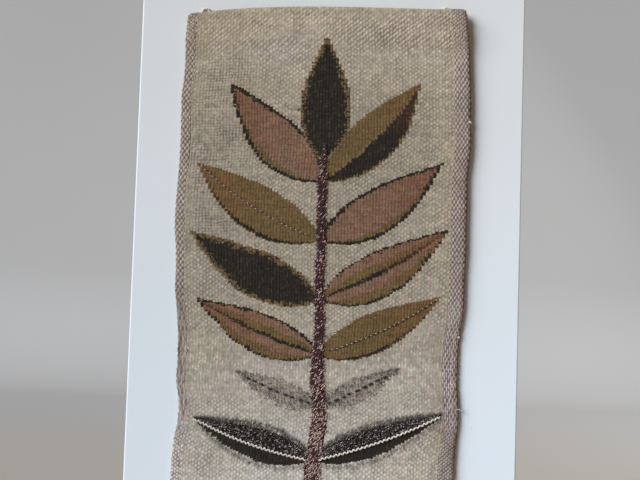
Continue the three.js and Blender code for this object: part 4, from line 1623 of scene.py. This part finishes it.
class TAPESTRY_OT_yarnwork(bpy.types.Operator):
    """Works the wrapped stem, midrib cords, stitches, pile and loose ends onto the cloth"""

    bl_idname = "tapestry.yarnwork"
    bl_label = "Work Yarns"

    def execute(self, context):
        colours = context.scene.tapestry_colours
        stem = strand_material("wine_yarn", shades(colours.wine, 0.25, 0.7, 1.0) + STEM_PALE_YARN_AND_HIGHLIGHT)
        cream = strand_material("cream_cord", CREAM_CORD, relief=0.1)
        thread = strand_material("dark_thread", DARK_THREAD)
        hair = strand_material("dark_pile", shades(colours.pile, 0.4, 1.0, 1.6))
        haze = strand_material("grey_pile", GREY_PILE)
        knots = strand_material("pile_knots", shades(colours.pile, 0.6, 2.4) + KNOT_PAINTED_GLINT)
        ground = strand_material("undyed_yarn", UNDYED_YARN)
        # Brown fibres, partly painted shade of the right edge
        brown = strand_material("edge_fuzz_and_shade", EDGE_BROWN_AND_SHADE)
        made = [
            wrapped_stem([stem]),
            leaf_cords([cream, thread]),
            leaf_pile([hair, haze, knots]),
            pale_veins([thread]),
            hem_stitches([ground]),
            edge_ends([ground, brown]),
        ]
        return {"FINISHED"}


class TAPESTRY_OT_loops(bpy.types.Operator):
    bl_idname = "tapestry.loops"
    bl_label = "Sew Loops"

    def execute(self, context):
        yarn = strand_material("loop_yarn", LOOP_YARN, relief=0.06)
        for loop in LOOPS:
            piece = yarn_loop(loop, [yarn])
            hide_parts(loop["name"])
        return {"FINISHED"}


class TAPESTRY_OT_stage(bpy.types.Operator):
    """Sets up the pale floor and backdrop, soft daylight and the camera"""

    bl_idname = "tapestry.stage"
    bl_label = "Set Up Stage"

    def execute(self, context):
        add_backdrop(context)
        add_lights(context)
        add_camera(context)
        return {"FINISHED"}


# Stage


def backdrop_mesh(floor, behind):
    """Floor that curves up into a backdrop, as one sheet."""
    radius, half, front, top = 0.6, 6.0, -5.0, 6.0
    profile = [(front, floor), (behind - radius, floor)]
    for step in range(1, 13):
        turn = step / 12 * math.pi / 2
        profile.append((behind - radius + radius * math.sin(turn), floor + radius * (1 - math.cos(turn))))
    profile.append((behind, top))
    points = [(x, y, z) for y, z in profile for x in (-half, half)]
    faces = [(2 * i, 2 * i + 1, 2 * i + 3, 2 * i + 2) for i in range(len(profile) - 1)]
    mesh = bpy.data.meshes.new("backdrop")
    mesh.from_pydata(points, [], faces)
    mesh.polygons.foreach_set("use_smooth", [True] * len(faces))
    return mesh


def add_backdrop(context):
    low, _high = CAD_BOX
    shader = Shader("stage_paper")
    place = shader.object_place()
    cloud = shader.noise(place, 0.8)
    back = shader.remap(shader.parts(place)[1], 0.5, 2.2)
    paper = shader.mix(back, PALE_FLOOR, PALE_BACKDROP)
    paper = shader.scale(paper, shader.spread(cloud, 0.95, 1.03))
    material = shader.finish(paper, cloud, 0.0001, roughness=0.8, sheen=0.0, gloss=0.2)
    mesh = backdrop_mesh(low.z - 0.001, context.scene.tapestry_stage.backdrop_distance)
    mesh.materials.append(material)
    backdrop = bpy.data.objects.new("backdrop", mesh)
    context.scene.collection.objects.link(backdrop)


def aim(thing, place):
    """Puts a light into the scene at a place, aimed at the middle of the board."""
    thing.location = place
    thing.rotation_euler = (-Vector(place)).to_track_quat("-Z", "Y").to_euler()
    bpy.context.scene.collection.objects.link(thing)


def add_lights(context):
    stage = context.scene.tapestry_stage
    sun = bpy.data.lights.new("daylight", "SUN")
    sun.energy = stage.day_strength
    sun.angle = stage.day_spread
    sun.color = DAY_COLOUR
    aim(bpy.data.objects.new("daylight", sun), DAY_PLACE)
    rear = bpy.data.lights.new("rear_light", "AREA")
    rear.shape = "DISK"
    rear.size = REAR_SIZE
    rear.energy = REAR_WATTS
    rear.color = REAR_COLOUR
    lamp = bpy.data.objects.new("rear_light", rear)
    aim(lamp, REAR_PLACE)
    lamp.visible_camera = False
    world = bpy.data.worlds.new("room")
    world.use_nodes = True
    background = world.node_tree.nodes["Background"]
    background.inputs[0].default_value = ROOM_COLOUR
    background.inputs[1].default_value = stage.room_light
    context.scene.world = world
    context.scene.view_settings.view_transform = "Standard"


def add_camera(context):
    data = bpy.data.cameras.new("camera")
    data.sensor_width = SENSOR_MM
    data.lens = SENSOR_MM * FOCAL_PIXELS / IMAGE_WIDTH
    camera = bpy.data.objects.new("camera", data)
    context.scene.collection.objects.link(camera)
    ahead = Vector((0.0, math.cos(CAMERA_PITCH), math.sin(CAMERA_PITCH)))
    right = Vector((1.0, 0.0, 0.0))
    up = right.cross(ahead)
    rolled_right = right * math.cos(CAMERA_ROLL) + up * math.sin(CAMERA_ROLL)
    rolled_up = up * math.cos(CAMERA_ROLL) - right * math.sin(CAMERA_ROLL)
    turn = Matrix((rolled_right, rolled_up, -ahead)).transposed()
    camera.matrix_world = Matrix.Translation(Vector(CAMERA_PLACE) * MM) @ turn.to_4x4()
    context.scene.camera = camera


class TAPESTRY_PT_panel(bpy.types.Panel):
    """Lists the steps and values of the tapestry"""

    bl_idname = "TAPESTRY_PT_panel"
    bl_label = "Tapestry"
    bl_space_type = "VIEW_3D"
    bl_region_type = "UI"
    bl_category = "Tapestry"

    def draw(self, context):
        for operator in STEPS:
            self.layout.operator(operator.bl_idname)
        for group in (context.scene.tapestry_colours, context.scene.tapestry_stage):
            box = self.layout.box()
            for key in type(group).__annotations__:
                box.prop(group, key)


STEPS = (TAPESTRY_OT_board, TAPESTRY_OT_weave, TAPESTRY_OT_yarnwork, TAPESTRY_OT_loops, TAPESTRY_OT_stage)
CLASSES = (TapestryColours, TapestryStage, *STEPS, TAPESTRY_PT_panel)


def register():
    for each in CLASSES:
        bpy.utils.register_class(each)
    bpy.types.Scene.tapestry_colours = bpy.props.PointerProperty(type=TapestryColours)
    bpy.types.Scene.tapestry_stage = bpy.props.PointerProperty(type=TapestryStage)


def unregister():
    del bpy.types.Scene.tapestry_stage
    del bpy.types.Scene.tapestry_colours
    for each in reversed(CLASSES):
        bpy.utils.unregister_class(each)


def main():
    register()
    for step in ("board", "weave", "yarnwork", "loops", "stage"):
        getattr(bpy.ops.tapestry, step)()


if __name__ == "__main__":
    main()
